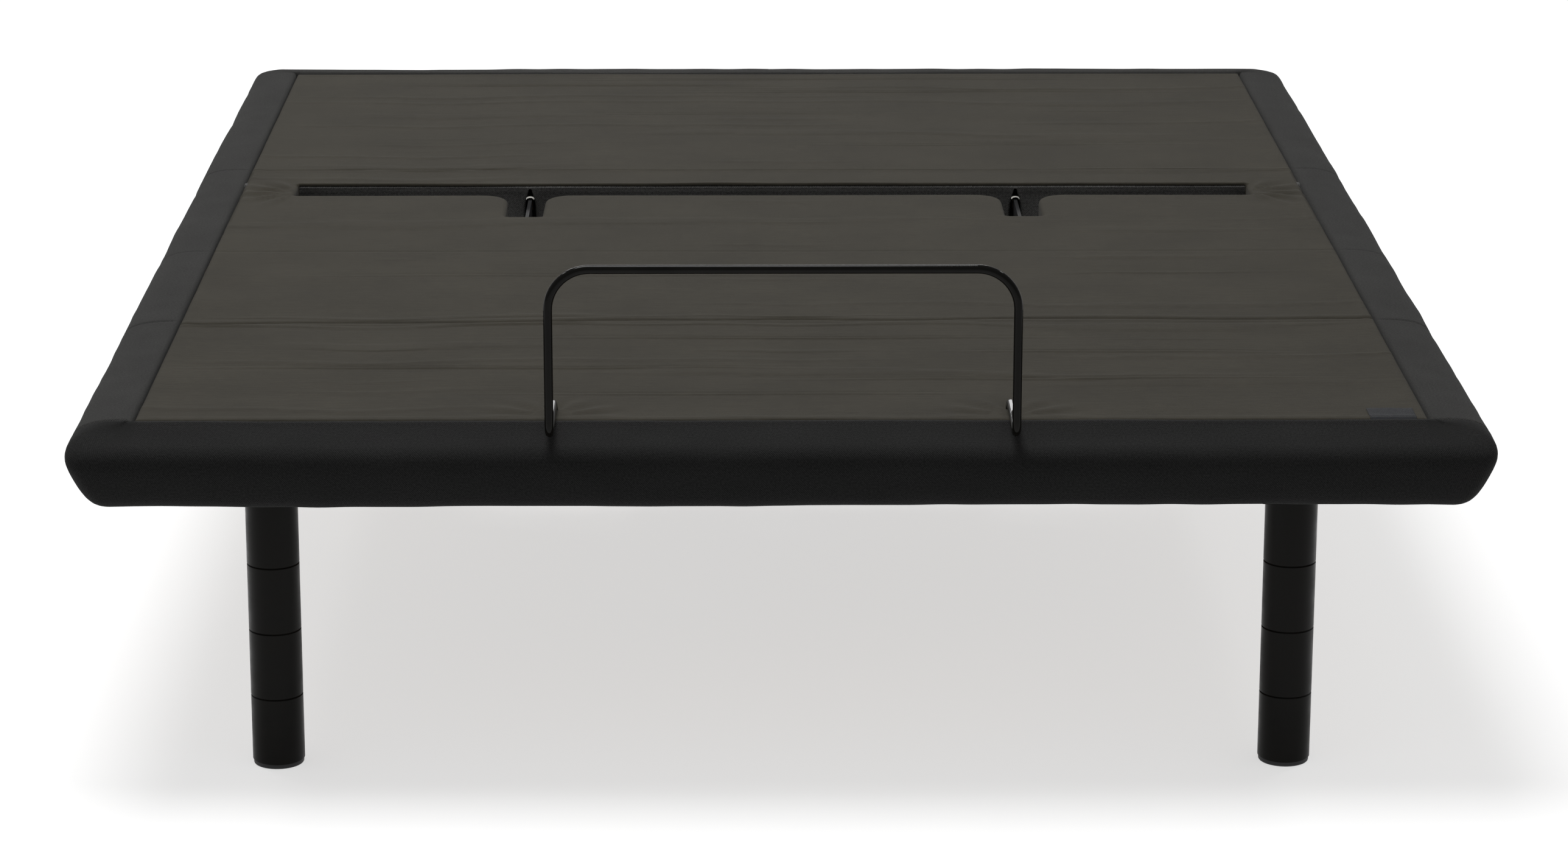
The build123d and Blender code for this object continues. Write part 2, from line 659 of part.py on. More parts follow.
def build_links():
    """Rocker links keep the calf section level, on pins in the rails."""
    rail_face = RAIL_X - RAIL_WIDTH / 2
    pins = []
    for side, name in ((-1, "calf_link_left"), (1, "calf_link_right")):
        with BuildPart() as link:
            with BuildSketch(Plane.YZ.offset(side * LINK_X)):
                middle = ((LINK_FRONT[0] + LINK_REAR[0]) / 2, LINK_FRONT[1])
                with Locations(middle):
                    SlotCenterToCenter(LINK_FRONT[0] - LINK_REAR[0], 2 * LINK_EYE_RADIUS)
                with Locations(LINK_FRONT, LINK_REAR):
                    Circle(LINK_PIN_RADIUS + RUNNING, mode=Mode.SUBTRACT)
            extrude(amount=side * LINK_THICK)
        save(link.part, name)
        with BuildPart() as pin:
            with BuildSketch(Plane.YZ.offset(side * rail_face)):
                with Locations(LINK_FRONT):
                    Circle(LINK_PIN_RADIUS)
            extrude(amount=-side * (rail_face - LINK_X + 4))
            with BuildSketch(Plane.YZ.offset(side * rail_face)):
                with Locations(LINK_FRONT):
                    Circle(LINK_PIN_RADIUS + 4)
            extrude(amount=-side * (rail_face - LINK_X - LINK_THICK - EAR_CLEARANCE))
        pins.append(pin.part)
    save_group(pins, "link_pivot_pins")


# ---------------------------------------------------------------- head lift


def build_head_arms():
    """Two steel arms join the head frame to its pivots through the notches."""
    y, z = HEAD_PIVOT
    tube_face = HEAD_FRONT + HEAD_FACE_THICK
    outline = [(y, z - ARM_EYE_RADIUS), (150, 316), (tube_face, FRAME_TOP - FRAME_TUBE)]
    outline += [(tube_face, ARM_TOP), (y + 24, ARM_TOP), (y, z + ARM_EYE_RADIUS)]
    arms = []
    for side in (-1, 1):
        with BuildPart() as arm:
            with BuildSketch(Plane.YZ.offset(side * ARM_X)):
                with BuildLine():
                    Polyline(*outline, close=True)
                make_face()
                with Locations(HEAD_PIVOT):
                    Circle(ARM_EYE_RADIUS)
                    Circle(BOLT_RADIUS + RUNNING, mode=Mode.SUBTRACT)
            extrude(amount=side * ARM_THICK)
        arms.append(arm.part)
    save_group(arms, "head_arms")


def build_head_pivots():
    """Fixed brackets and shoulder bolts that the head arms turn on."""
    tube_front = SEAT_REAR_CROSS_Y - CROSS_WIDTH / 2
    tube_rear = SEAT_REAR_CROSS_Y + CROSS_WIDTH / 2
    tube_top = RAIL_BOTTOM + CROSS_HEIGHT
    eye_radius = HEAD_PIVOT[1] - tube_top
    shoulder_radius = 11.0
    head_radius = 9.0
    head_thick = 6.0
    nut_radius = 10.0
    brackets = []
    bolts = []
    for side in (-1, 1):
        with BuildPart() as bracket:
            with BuildSketch(Plane.YZ.offset(side * BRACKET_X)):
                with Locations(((tube_front + tube_rear) / 2, (tube_top + 350) / 2)):
                    Rectangle(tube_rear - tube_front, 350 - tube_top)
                with Locations(HEAD_PIVOT):
                    Circle(eye_radius)
                make_hull()
                with Locations(HEAD_PIVOT):
                    Circle(BOLT_RADIUS + RUNNING, mode=Mode.SUBTRACT)
            extrude(amount=side * BRACKET_THICK)
        brackets.append(bracket.part)
        outer_face = BRACKET_X + BRACKET_THICK
        with BuildPart() as bolt:
            with BuildSketch(Plane.YZ.offset(side * ARM_X)):
                with Locations(HEAD_PIVOT):
                    Circle(BOLT_RADIUS)
            extrude(amount=side * (outer_face - ARM_X))
            with BuildSketch(Plane.YZ.offset(side * (ARM_X - 0.2))):
                with Locations(HEAD_PIVOT):
                    Circle(head_radius)
            extrude(amount=-side * head_thick)
            with BuildSketch(Plane.YZ.offset(side * (ARM_X - 0.2))):
                with Locations(HEAD_PIVOT):
                    Circle(BOLT_RADIUS)
            extrude(amount=side * 1)
            with BuildSketch(Plane.YZ.offset(side * BRACKET_X)):
                with Locations(HEAD_PIVOT):
                    Circle(shoulder_radius)
            extrude(amount=-side * (BRACKET_X - ARM_X - ARM_THICK - EAR_CLEARANCE))
            with BuildSketch(Plane.YZ.offset(side * outer_face)):
                with Locations(HEAD_PIVOT):
                    RegularPolygon(nut_radius, 6)
            extrude(amount=side * head_thick)
        bolts.append(bolt.part)
    save_group(brackets, "head_pivot_brackets")
    save_group(bolts, "head_pivot_bolts")


def build_torsion_tube():
    """Round tube between the head arms."""
    with BuildPart() as tube:
        with BuildSketch(Plane.YZ.offset(-ARM_X)):
            with Locations(HEAD_PIVOT):
                Circle(TORSION_RADIUS)
                Circle(TORSION_BORE, mode=Mode.SUBTRACT)
        extrude(amount=2 * ARM_X)
    save(tube.part, "torsion_tube")


def crank_sides(centre_x):
    """Inner faces of a crank's two plates."""
    half = CRANK_GAP / 2
    return (centre_x - half - CRANK_THICK, centre_x + half)


def build_cranks():
    """The head crank sits on the torsion tube, the thigh crank on the thigh frame."""
    eye_radius = 10.0
    boss_radius = 15.0
    plates = []
    for x in crank_sides(HEAD_MOTOR_X):
        with BuildPart() as plate:
            with BuildSketch(Plane.YZ.offset(x)):
                with Locations(HEAD_PIVOT):
                    Circle(boss_radius)
                with Locations(HEAD_ROLLER):
                    Circle(eye_radius)
                make_hull()
                with Locations(HEAD_PIVOT):
                    Circle(TORSION_RADIUS + RUNNING, mode=Mode.SUBTRACT)
                with Locations(HEAD_ROLLER):
                    Circle(PIN_RADIUS + RUNNING, mode=Mode.SUBTRACT)
            extrude(amount=CRANK_THICK)
        plates.append(plate.part)
    save_group(plates, "head_crank")

    tube_face = THIGH_PIVOT[0] - HINGE_TUBE_OFFSET + FRAME_TUBE / 2
    plates = []
    for x in crank_sides(FOOT_MOTOR_X):
        with BuildPart() as plate:
            with BuildSketch(Plane.YZ.offset(x)):
                with BuildLine():
                    Polyline((tube_face, 350), (tube_face + 12, 350), (tube_face, 331), close=True)
                make_face()
                with Locations(THIGH_ROLLER):
                    Circle(eye_radius)
                make_hull()
                with Locations(THIGH_ROLLER):
                    Circle(PIN_RADIUS + RUNNING, mode=Mode.SUBTRACT)
            extrude(amount=CRANK_THICK)
        plates.append(plate.part)
    save_group(plates, "thigh_crank")


def build_rollers():
    """Nylon rollers with their axles, pushed by the motor shoes."""
    rows = ((HEAD_MOTOR_X, HEAD_ROLLER, "head_roller"), (FOOT_MOTOR_X, THIGH_ROLLER, "thigh_roller"))
    for x, centre, name in rows:
        half = CRANK_GAP / 2 + CRANK_THICK
        with BuildPart() as roller:
            with BuildSketch(Plane.YZ.offset(x - ROLLER_WIDTH / 2)):
                with Locations(centre):
                    Circle(ROLLER_RADIUS)
            extrude(amount=ROLLER_WIDTH)
            with BuildSketch(Plane.YZ.offset(x - half)):
                with Locations(centre):
                    Circle(PIN_RADIUS)
            extrude(amount=2 * half)
        save(roller.part, name)


# ---------------------------------------------------------------- linear motors


def push_rod(x, z, tip_y, sign, name):
    """Push rod with its shoe; sign is the way it pushes along Y."""
    with BuildPart() as rod:
        with BuildSketch(Plane.XZ.offset(-tip_y)):
            with Locations((x, z)):
                Circle(ROD_RADIUS)
        extrude(amount=sign * ROD_LENGTH)
        with BuildSketch(Plane.XZ.offset(-tip_y)):
            with Locations((x, z)):
                Rectangle(SHOE_WIDTH, SHOE_HEIGHT)
        extrude(amount=sign * SHOE_THICK)
    save(rod.part, name)


def motor_tube(x, z, ys, sign):
    """Outer tube, with a bush for the rod at its front end."""
    front = ys[1] if sign > 0 else ys[0]
    rear = ys[0] if sign > 0 else ys[1]
    with BuildPart() as tube:
        with BuildSketch(Plane.XZ.offset(-front)):
            with Locations((x, z)):
                Circle(TUBE_RADIUS)
                Circle(ROD_RADIUS + RUNNING, mode=Mode.SUBTRACT)
        extrude(amount=sign * TUBE_BUSH_LENGTH)
        with BuildSketch(Plane.XZ.offset(-front + sign * TUBE_BUSH_LENGTH)):
            with Locations((x, z)):
                Circle(TUBE_RADIUS)
                Circle(TUBE_BORE, mode=Mode.SUBTRACT)
        extrude(amount=sign * (abs(front - rear) - TUBE_BUSH_LENGTH))
    return tube.part


def gearbox(x, z, ys):
    """Gearbox housing behind the tube."""
    half = GEARBOX_SIZE / 2
    with BuildPart() as housing:
        add(block((x - half, x + half), ys, (z - half, z + half)))
        fillet(housing.edges().filter_by(Axis.Y), 8)
    return housing.part


def motor_can(x, y, z, sign):
    """Round motor beside the gearbox; sign is the side it points to."""
    with BuildPart() as can:
        with BuildSketch(Plane.YZ.offset(x + sign * GEARBOX_SIZE / 2)):
            with Locations((y, z)):
                Circle(CAN_RADIUS)
        extrude(amount=sign * CAN_LENGTH)
        fillet(can.faces().sort_by(Axis.X)[0 if sign < 0 else -1].edges(), 3)
    return can.part


def rear_hanger(x, y0, y1, bottom):
    """Plate from a cross tube down the back of a gearbox."""
    return block((x - HANGER_WIDTH / 2, x + HANGER_WIDTH / 2), (y0, y1), (bottom, RAIL_BOTTOM))


def front_hanger(x, z, y):
    """Plate from a cross tube with a ring around the motor tube."""
    half = HANGER_WIDTH / 2
    with BuildPart() as hanger:
        with BuildSketch(Plane.XZ.offset(-y - HANGER_THICK / 2)):
            with Locations((x, (z - half + RAIL_BOTTOM) / 2)):
                Rectangle(HANGER_WIDTH, RAIL_BOTTOM - z + half)
            with Locations((x, z)):
                Circle(TUBE_RADIUS + RUNNING, mode=Mode.SUBTRACT)
        extrude(amount=HANGER_THICK)
    return hanger.part


def build_motors():
    """Head motor on the left pushes to the head; foot motor on the right pushes to the foot."""
    head_gear = (HEAD_MOTOR_CROSS_Y - 10, HEAD_MOTOR_CROSS_Y - 10 + GEARBOX_LENGTH)
    foot_gear = (FOOT_MOTOR_CROSS_Y + 10 - GEARBOX_LENGTH, FOOT_MOTOR_CROSS_Y + 10)
    head_tube = (head_gear[1], SEAT_FRONT_CROSS_Y + 17)
    foot_tube = (SEAT_REAR_CROSS_Y - 15, foot_gear[0])
    head_middle = (head_gear[0] + head_gear[1]) / 2
    foot_middle = (foot_gear[0] + foot_gear[1]) / 2
    gears = [gearbox(HEAD_MOTOR_X, HEAD_MOTOR_Z, head_gear), gearbox(FOOT_MOTOR_X, FOOT_MOTOR_Z, foot_gear)]
    save_group(gears, "motor_gearboxes")
    cans = [motor_can(HEAD_MOTOR_X, head_middle, HEAD_MOTOR_Z, -1)]
    cans.append(motor_can(FOOT_MOTOR_X, foot_middle, FOOT_MOTOR_Z, 1))
    save_group(cans, "motor_cans")
    tubes = [motor_tube(HEAD_MOTOR_X, HEAD_MOTOR_Z, head_tube, 1)]
    tubes.append(motor_tube(FOOT_MOTOR_X, FOOT_MOTOR_Z, foot_tube, -1))
    save_group(tubes, "motor_tubes")
    hangers = [rear_hanger(HEAD_MOTOR_X, head_gear[0] - HANGER_THICK, head_gear[0], HEAD_MOTOR_Z - 25)]
    hangers.append(rear_hanger(FOOT_MOTOR_X, foot_gear[1], foot_gear[1] + HANGER_THICK, FOOT_MOTOR_Z - 25))
    hangers.append(front_hanger(HEAD_MOTOR_X, HEAD_MOTOR_Z, SEAT_FRONT_CROSS_Y))
    hangers.append(front_hanger(FOOT_MOTOR_X, FOOT_MOTOR_Z, SEAT_REAR_CROSS_Y))
    save_group(hangers, "motor_hangers")
    push_rod(HEAD_MOTOR_X, HEAD_MOTOR_Z, HEAD_ROLLER[0] - ROLLER_RADIUS - SHOE_GAP, 1, "head_rod")
    push_rod(FOOT_MOTOR_X, FOOT_MOTOR_Z, THIGH_ROLLER[0] + ROLLER_RADIUS + SHOE_GAP, -1, "foot_rod")


# ---------------------------------------------------------------- control box and leads


def build_control_box():
    """Control box under the seat cross tubes, with a power inlet on its left side."""
    half = BOX_WIDTH / 2
    split = RAIL_BOTTOM - BOX_BASE_THICK
    with BuildPart() as base:
        add(block((-half, half), (BOX_FRONT, BOX_REAR), (split, RAIL_BOTTOM)))
        fillet(base.edges().filter_by(Axis.Z), 6)
    save(base.part, "control_box_base")
    with BuildPart() as cover:
        add(block((-half, half), (BOX_FRONT, BOX_REAR), (BOX_BOTTOM, split)))
        fillet(cover.edges().filter_by(Axis.Z), 6)
        fillet(cover.faces().sort_by(Axis.Z)[0].edges(), 3)
    save(cover.part, "control_box_cover")
    screws = []
    for x in (-half + 12, half - 12):
        for y in (BOX_FRONT + 12, BOX_REAR - 12):
            with BuildPart() as screw:
                with BuildSketch(Plane.XY.offset(BOX_BOTTOM)):
                    with Locations((x, y)):
                        Circle(3.5)
                extrude(amount=-2)
            screws.append(screw.part)
    save_group(screws, "control_box_screws")
    with BuildPart() as inlet:
        with BuildSketch(Plane.YZ.offset(-half)):
            with Locations((-55, 281)):
                RectangleRounded(28, 20, 3)
                RectangleRounded(22, 14, 2, mode=Mode.SUBTRACT)
        extrude(amount=-10)
        with BuildSketch(Plane.YZ.offset(-half)):
            with Locations((-55, 281)):
                RectangleRounded(28, 20, 3)
        extrude(amount=-2)
    save(inlet.part, "power_inlet")


def lead(route, name):
    """A motor lead: straight runs joined by tangent arcs as large as the runs allow."""
    radii = []
    for before, corner, after in zip(route, route[1:], route[2:]):
        first = Vector(*corner) - Vector(*before)
        second = Vector(*after) - Vector(*corner)
        turn = math.radians(first.get_angle(second))
        radii.append(0.45 * min(first.length, second.length) / math.tan(turn / 2))
    with BuildPart() as made:
        with BuildLine() as path:
            FilletPolyline(*route, radius=radii)
        with BuildSketch(Plane(origin=route[0], z_dir=Vector(*route[1]) - Vector(*route[0]))):
            Circle(LEAD_RADIUS)
        sweep(path=path.line)
    save(made.part, name)


def build_leads():
    """Leads from the gearboxes to the control box, clipped to the motor tubes."""
    lead(HEAD_LEAD_ROUTE, "head_motor_lead")
    lead(FOOT_LEAD_ROUTE, "foot_motor_lead")


def build_lead_clips():
    """Clips that tie a lead to its motor tube."""
    clip_width = 10.0
    wall = 2.0
    ring_bore = LEAD_RADIUS + 1.5
    head_y, foot_y = -325.0, 255.0
    head = (HEAD_MOTOR_X, HEAD_MOTOR_Z, head_y, HEAD_LEAD_ROUTE)
    foot = (FOOT_MOTOR_X, FOOT_MOTOR_Z, foot_y, FOOT_LEAD_ROUTE)
    rows = (head, foot)
    clips = []
    for x, z, y, route in rows:
        lead_at = (route[0][0], route[0][2])
        with BuildPart() as clip:
            with BuildSketch(Plane.XZ.offset(-y)):
                with Locations((x, z)):
                    Circle(TUBE_RADIUS + wall)
                with Locations(lead_at):
                    Circle(ring_bore + wall)
                with Locations((x, z)):
                    Circle(TUBE_RADIUS + RUNNING, mode=Mode.SUBTRACT)
                with Locations(lead_at):
                    Circle(ring_bore, mode=Mode.SUBTRACT)
            extrude(amount=clip_width)
        clips.append(clip.part)
    save_group(clips, "lead_clips")


# ---------------------------------------------------------------- retainer bar and tag


def build_retainer_bar():
    """Bent rod that stops the mattress sliding; its feet lie on the deck and turn down into it."""
    half_route = [(-BAR_X, SOCKET_Y, BAR_TIP), (-BAR_X, SOCKET_Y, BAR_REST_Z)]
    half_route += [(-BAR_X, END_SLOPE_START, BAR_REST_Z), (-BAR_X, BAR_Y, BAR_FRONT_Z)]
    half_route.append((-BAR_X, BAR_Y, BAR_TOP))
    route = half_route + [(-x, y, z) for x, y, z in reversed(half_route)]
    bends = [BAR_FOOT_BEND, BAR_EDGE_BEND, BAR_FOOT_BEND, BAR_TOP_BEND]
    with BuildPart() as bar:
        with BuildLine() as path:
            FilletPolyline(*route, radius=bends + list(reversed(bends)))
        with BuildSketch(Plane.XY.offset(BAR_TIP)):
            with Locations((-BAR_X, SOCKET_Y)):
                Circle(BAR_RADIUS)
        sweep(path=path.line)
    save(bar.part, "retainer_bar")


def build_bar_sockets():
    """Plastic sockets in the calf board take the ends of the retainer bar."""
    sockets = []
    for x in (-BAR_X, BAR_X):
        with BuildPart() as socket:
            with BuildSketch(Plane.XY.offset(SOCKET_BOTTOM)):
                with Locations((x, SOCKET_Y)):
                    Circle(SOCKET_RADIUS)
            extrude(amount=PAD_Z - SOCKET_BOTTOM)
            with BuildSketch(Plane.XY.offset(PAD_Z)):
                with Locations((x, SOCKET_Y)):
                    Circle(SOCKET_FLANGE_RADIUS)
            extrude(amount=SOCKET_FLANGE)
            with BuildSketch(Plane.XY.offset(SOCKET_BOTTOM)):
                with Locations((x, SOCKET_Y)):
                    Circle(BAR_RADIUS + RUNNING)
            extrude(amount=PAD_Z + SOCKET_FLANGE - SOCKET_BOTTOM, mode=Mode.SUBTRACT)
        sockets.append(socket.part)
    save_group(sockets, "bar_sockets")


def build_tag():
    """Blank woven tag sewn on the deck near its right front corner."""
    zs = (DECK_TOP - TAG_THICK, DECK_TOP)
    save(block(TAG_X, (END_SLOPE_START, END_SLOPE_START + TAG_LENGTH), zs), "deck_tag")


build_rails()
build_cross_tubes()
build_end_caps()
build_leg_mounts()
build_legs()
build_headboard_brackets()
build_bumpers()
build_boards()
build_pads()
build_side_skirts()
build_end_skirts()
build_section_frames()
build_hinges()
build_links()
build_head_arms()
build_head_pivots()
build_torsion_tube()
build_cranks()
build_rollers()
build_motors()
build_control_box()
build_leads()
build_lead_clips()
build_retainer_bar()
build_bar_sockets()
build_tag()
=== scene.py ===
"""Looks of the adjustable bed base: a padded deck in a stretched cloth cover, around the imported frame."""

import json
import math

import bmesh
import bpy
import numpy as np
from mathutils import Matrix, Vector
from mathutils.geometry import delaunay_2d_cdt

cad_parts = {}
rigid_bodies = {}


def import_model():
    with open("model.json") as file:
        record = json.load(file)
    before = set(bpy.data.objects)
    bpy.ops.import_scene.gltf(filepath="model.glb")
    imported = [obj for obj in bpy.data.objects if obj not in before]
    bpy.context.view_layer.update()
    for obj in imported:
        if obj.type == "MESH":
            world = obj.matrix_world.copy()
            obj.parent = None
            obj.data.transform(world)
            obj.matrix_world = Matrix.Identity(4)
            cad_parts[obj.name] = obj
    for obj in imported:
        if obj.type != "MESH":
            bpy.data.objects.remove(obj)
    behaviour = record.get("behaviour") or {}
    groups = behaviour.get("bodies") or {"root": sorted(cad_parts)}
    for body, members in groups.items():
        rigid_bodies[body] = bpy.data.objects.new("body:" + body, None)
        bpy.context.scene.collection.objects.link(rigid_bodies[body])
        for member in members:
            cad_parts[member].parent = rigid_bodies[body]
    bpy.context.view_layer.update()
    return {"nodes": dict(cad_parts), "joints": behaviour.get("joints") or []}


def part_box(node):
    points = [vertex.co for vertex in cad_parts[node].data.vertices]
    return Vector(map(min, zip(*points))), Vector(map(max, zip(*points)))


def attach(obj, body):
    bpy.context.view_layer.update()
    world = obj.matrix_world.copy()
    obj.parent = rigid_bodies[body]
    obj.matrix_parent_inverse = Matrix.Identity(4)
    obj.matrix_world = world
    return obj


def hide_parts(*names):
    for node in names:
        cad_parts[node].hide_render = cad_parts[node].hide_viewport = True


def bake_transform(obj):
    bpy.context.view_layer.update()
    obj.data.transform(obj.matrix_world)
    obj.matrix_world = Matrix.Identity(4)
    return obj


for default in list(bpy.data.objects):
    bpy.data.objects.remove(default)

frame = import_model()

# ---------------------------------------------------------------- sizes, all in metres

HEAD_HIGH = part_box("pad_head")[1]
SEAT_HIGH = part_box("pad_seat")[1]
CALF_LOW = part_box("pad_calf")[0]
FACE_LOW, FACE_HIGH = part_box("skirt_head_face")
ARMS_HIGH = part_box("head_arms")[1]
BAR_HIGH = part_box("retainer_bar")[1]
TAG_LOW, TAG_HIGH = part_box("deck_tag")
BOARD_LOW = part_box("board_seat")[0]

TOP = HEAD_HIGH.z + 0.001  # upper face of the cloth
BOARD_UNDER = BOARD_LOW.z

FOLDS = {joint["name"]: joint for joint in frame["joints"]}
THIGH_FOLD_Y = FOLDS["thigh_tilt"]["pos_m"][1]
KNEE_FOLD_Y = FOLDS["knee_fold"]["pos_m"][1]

SEAM_X = SEAT_HIGH.x - 0.044  # the border is sewn to the deck cloth along these lines
SEAM_FRONT = CALF_LOW.y + 0.045
SEAM_REAR = HEAD_HIGH.y - 0.047
HEAD_SEAM_Y = FACE_LOW.y + 0.081  # the seam across the head section

CLOTH_GAP = 0.0015  # the cloth's walls stand this far off the boards' edges
SLOT_FRONT = SEAT_HIGH.y + CLOTH_GAP
SLOT_REAR = FACE_LOW.y
SLOT_END_X = 0.626
ARM_HALF = 0.00225  # half of a hinge arm's thickness
ARM_X = ARMS_HIGH.x - ARM_HALF
ROD_HALF = 0.0048  # half of the retainer bar's diameter
BAR_FOOT_X = BAR_HIGH.x - ROD_HALF  # where the retainer bar goes down through the cloth
BAR_FOOT_Y = BAR_HIGH.y - ROD_HALF
NOTCH_HALF = 0.025 - CLOTH_GAP
NOTCH_BASE_Y = 0.020 + CLOTH_GAP
MOUTH_RADIUS = 0.036
BASE_RADIUS = 0.006
SLOT_CORNER = 0.004
EDGE_ROLL = 0.006  # the cloth rolls over the pad's edge at this radius
HEAD_EDGE_ROLL = 0.002  # and tighter where it is sewn to the face of the head section
HEAD_EDGE_DEPTH = 0.0035  # how far the cloth goes down there before the face begins
SEAM_DEPTH = 0.0055  # how far the seams round the deck are pulled in

GRID = 0.0065  # spacing of the deck cloth's mesh
MIDDLE_REAR = -0.020  # the cover is made in three lengths, which meet here and at the next line
MIDDLE_FRONT = -0.350


# ---------------------------------------------------------------- small helpers


def smooth(t):
    t = np.clip(t, 0.0, 1.0)
    return t * t * (3.0 - 2.0 * t)


def bump(distance, width):
    """1 on a line, falling smoothly to 0 at width from it."""
    return 1.0 - smooth(np.abs(distance) / width)


def waves(values, seed, count=6, longest=1.0):
    """A smooth wandering curve between about -1 and 1, the same on each run."""
    rng = np.random.default_rng(seed)
    total = np.zeros_like(values, dtype=float)
    for k in range(count):
        amplitude = 1.0 / (1.0 + 0.7 * k)
        frequency = (k + 1) * 2.0 * math.pi / longest
        total += amplitude * np.sin(frequency * rng.uniform(0.8, 1.2) * values + rng.uniform(0, 6.28))
    return total / 1.8


def lattice_noise(x, y, cell_x, cell_y, seed):
    """Smooth noise between -1 and 1 on cells of the given size."""
    rng = np.random.default_rng(seed)
    table = rng.uniform(-1.0, 1.0, (64, 64))
    u, v = x / cell_x + 100.0, y / cell_y + 100.0
    i, j = np.floor(u).astype(int), np.floor(v).astype(int)
    fu, fv = smooth(u - i), smooth(v - j)
    a = table[i % 64, j % 64]
    b = table[(i + 1) % 64, j % 64]
    c = table[i % 64, (j + 1) % 64]
    d = table[(i + 1) % 64, (j + 1) % 64]
    return (a * (1 - fu) + b * fu) * (1 - fv) + (c * (1 - fu) + d * fu) * fv


def new_object(name, points, faces, materials, indices=None):
    mesh = bpy.data.meshes.new(name)
    mesh.from_pydata([tuple(p) for p in points], [], faces)
    for material in materials:
        mesh.materials.append(material)
    if indices is not None:
        mesh.polygons.foreach_set("material_index", indices)
    mesh.polygons.foreach_set("use_smooth", [True] * len(mesh.polygons))
    mesh.update()
    obj = bpy.data.objects.new(name, mesh)
    bpy.context.collection.objects.link(obj)
    return obj


def weld(obj, distance=0.00005):
    shape = bmesh.new()
    shape.from_mesh(obj.data)
    bmesh.ops.remove_doubles(shape, verts=shape.verts, dist=distance)
    bmesh.ops.recalc_face_normals(shape, faces=shape.faces)
    shape.to_mesh(obj.data)
    shape.free()
    return obj


def set_uv(obj, per_point):
    """Cloth coordinates in metres, so that the weave stays on the cloth as it bends."""
    layer = obj.data.uv_layers.new(name="cloth")
    corners = np.zeros(len(obj.data.loops), dtype=int)
    obj.data.loops.foreach_get("vertex_index", corners)
    layer.data.foreach_set("uv", np.asarray(per_point, float)[corners].ravel())


def push_out(points, faces, amounts):
    """Moves each point along its surface normal by its amount."""
    normals = np.zeros_like(points)
    for face in faces:
        a, b, c = points[face[0]], points[face[1]], points[face[2]]
        normal = np.cross(b - a, c - a)
        for index in face:
            normals[index] += normal
    lengths = np.linalg.norm(normals, axis=1, keepdims=True)
    return points + normals / np.maximum(lengths, 1e-12) * amounts[:, None]


# ---------------------------------------------------------------- materials


class Finish:
    """A procedural material: a principled shader and short ways to add nodes to it."""

    def __init__(self, name, colour, roughness, **constants):
        self.material = bpy.data.materials.new(name)
        self.material.use_nodes = True
        self.tree = self.material.node_tree
        self.shader = self.tree.nodes["Principled BSDF"]
        self.shader.inputs["Base Color"].default_value = (*colour, 1.0)
        self.shader.inputs["Roughness"].default_value = roughness
        for socket, value in constants.items():
            self.shader.inputs[socket.replace("_", " ")].default_value = value

    def node(self, kind, **settings):
        made = self.tree.nodes.new(kind)
        for key, value in settings.items():
            setattr(made, key, value)
        return made

    def link(self, source, target):
        self.tree.links.new(source, target)

    def place(self, scale, cloth):
        """Coordinates in metres times scale: along the cloth, or in the part's own frame."""
        source = self.node("ShaderNodeTexCoord").outputs["UV" if cloth else "Object"]
        mapping = self.node("ShaderNodeMapping")
        mapping.inputs["Scale"].default_value = scale
        self.link(source, mapping.inputs["Vector"])
        return mapping.outputs["Vector"]

    def noise(self, scale, detail=2.0, cloth=False):
        texture = self.node("ShaderNodeTexNoise")
        texture.inputs["Scale"].default_value = 1.0
        texture.inputs["Detail"].default_value = detail
        self.link(self.place(scale, cloth), texture.inputs["Vector"])
        return texture.outputs["Fac"]

    def math(self, operation, a, b=None):
        made = self.node("ShaderNodeMath", operation=operation)
        for index, value in enumerate((a, b)):
            if value is None:
                continue
            if isinstance(value, (int, float)):
                made.inputs[index].default_value = value
            else:
                self.link(value, made.inputs[index])
        return made.outputs[0]

    def ramp(self, value, low, high, from_low=0.3, from_high=0.7):
        """value mapped from [from_low, from_high] to [low, high]."""
        made = self.node("ShaderNodeMapRange")
        made.inputs["From Min"].default_value = from_low
        made.inputs["From Max"].default_value = from_high
        made.inputs["To Min"].default_value = low
        made.inputs["To Max"].default_value = high
        self.link(value, made.inputs["Value"])
        return made.outputs["Result"]

    def tint(self, colour, *factors):
        """The base colour times each factor."""
        total = factors[0]
        for factor in factors[1:]:
            total = self.math("MULTIPLY", total, factor)
        made = self.node("ShaderNodeVectorMath", operation="SCALE")
        made.inputs[0].default_value = colour
        self.link(total, made.inputs["Scale"])
        self.link(made.outputs[0], self.shader.inputs["Base Color"])

    def roughen(self, value, low, high):
        self.link(self.ramp(value, low, high), self.shader.inputs["Roughness"])

    def raise_by(self, *layers):
        """Bump layers: (height, distance in metres)."""
        normal = None
        for height, distance in layers:
            made = self.node("ShaderNodeBump")
            made.inputs["Distance"].default_value = distance
            self.link(height, made.inputs["Height"])
            if normal is not None:
                self.link(normal, made.inputs["Normal"])
            normal = made.outputs["Normal"]
        self.link(normal, self.shader.inputs["Normal"])


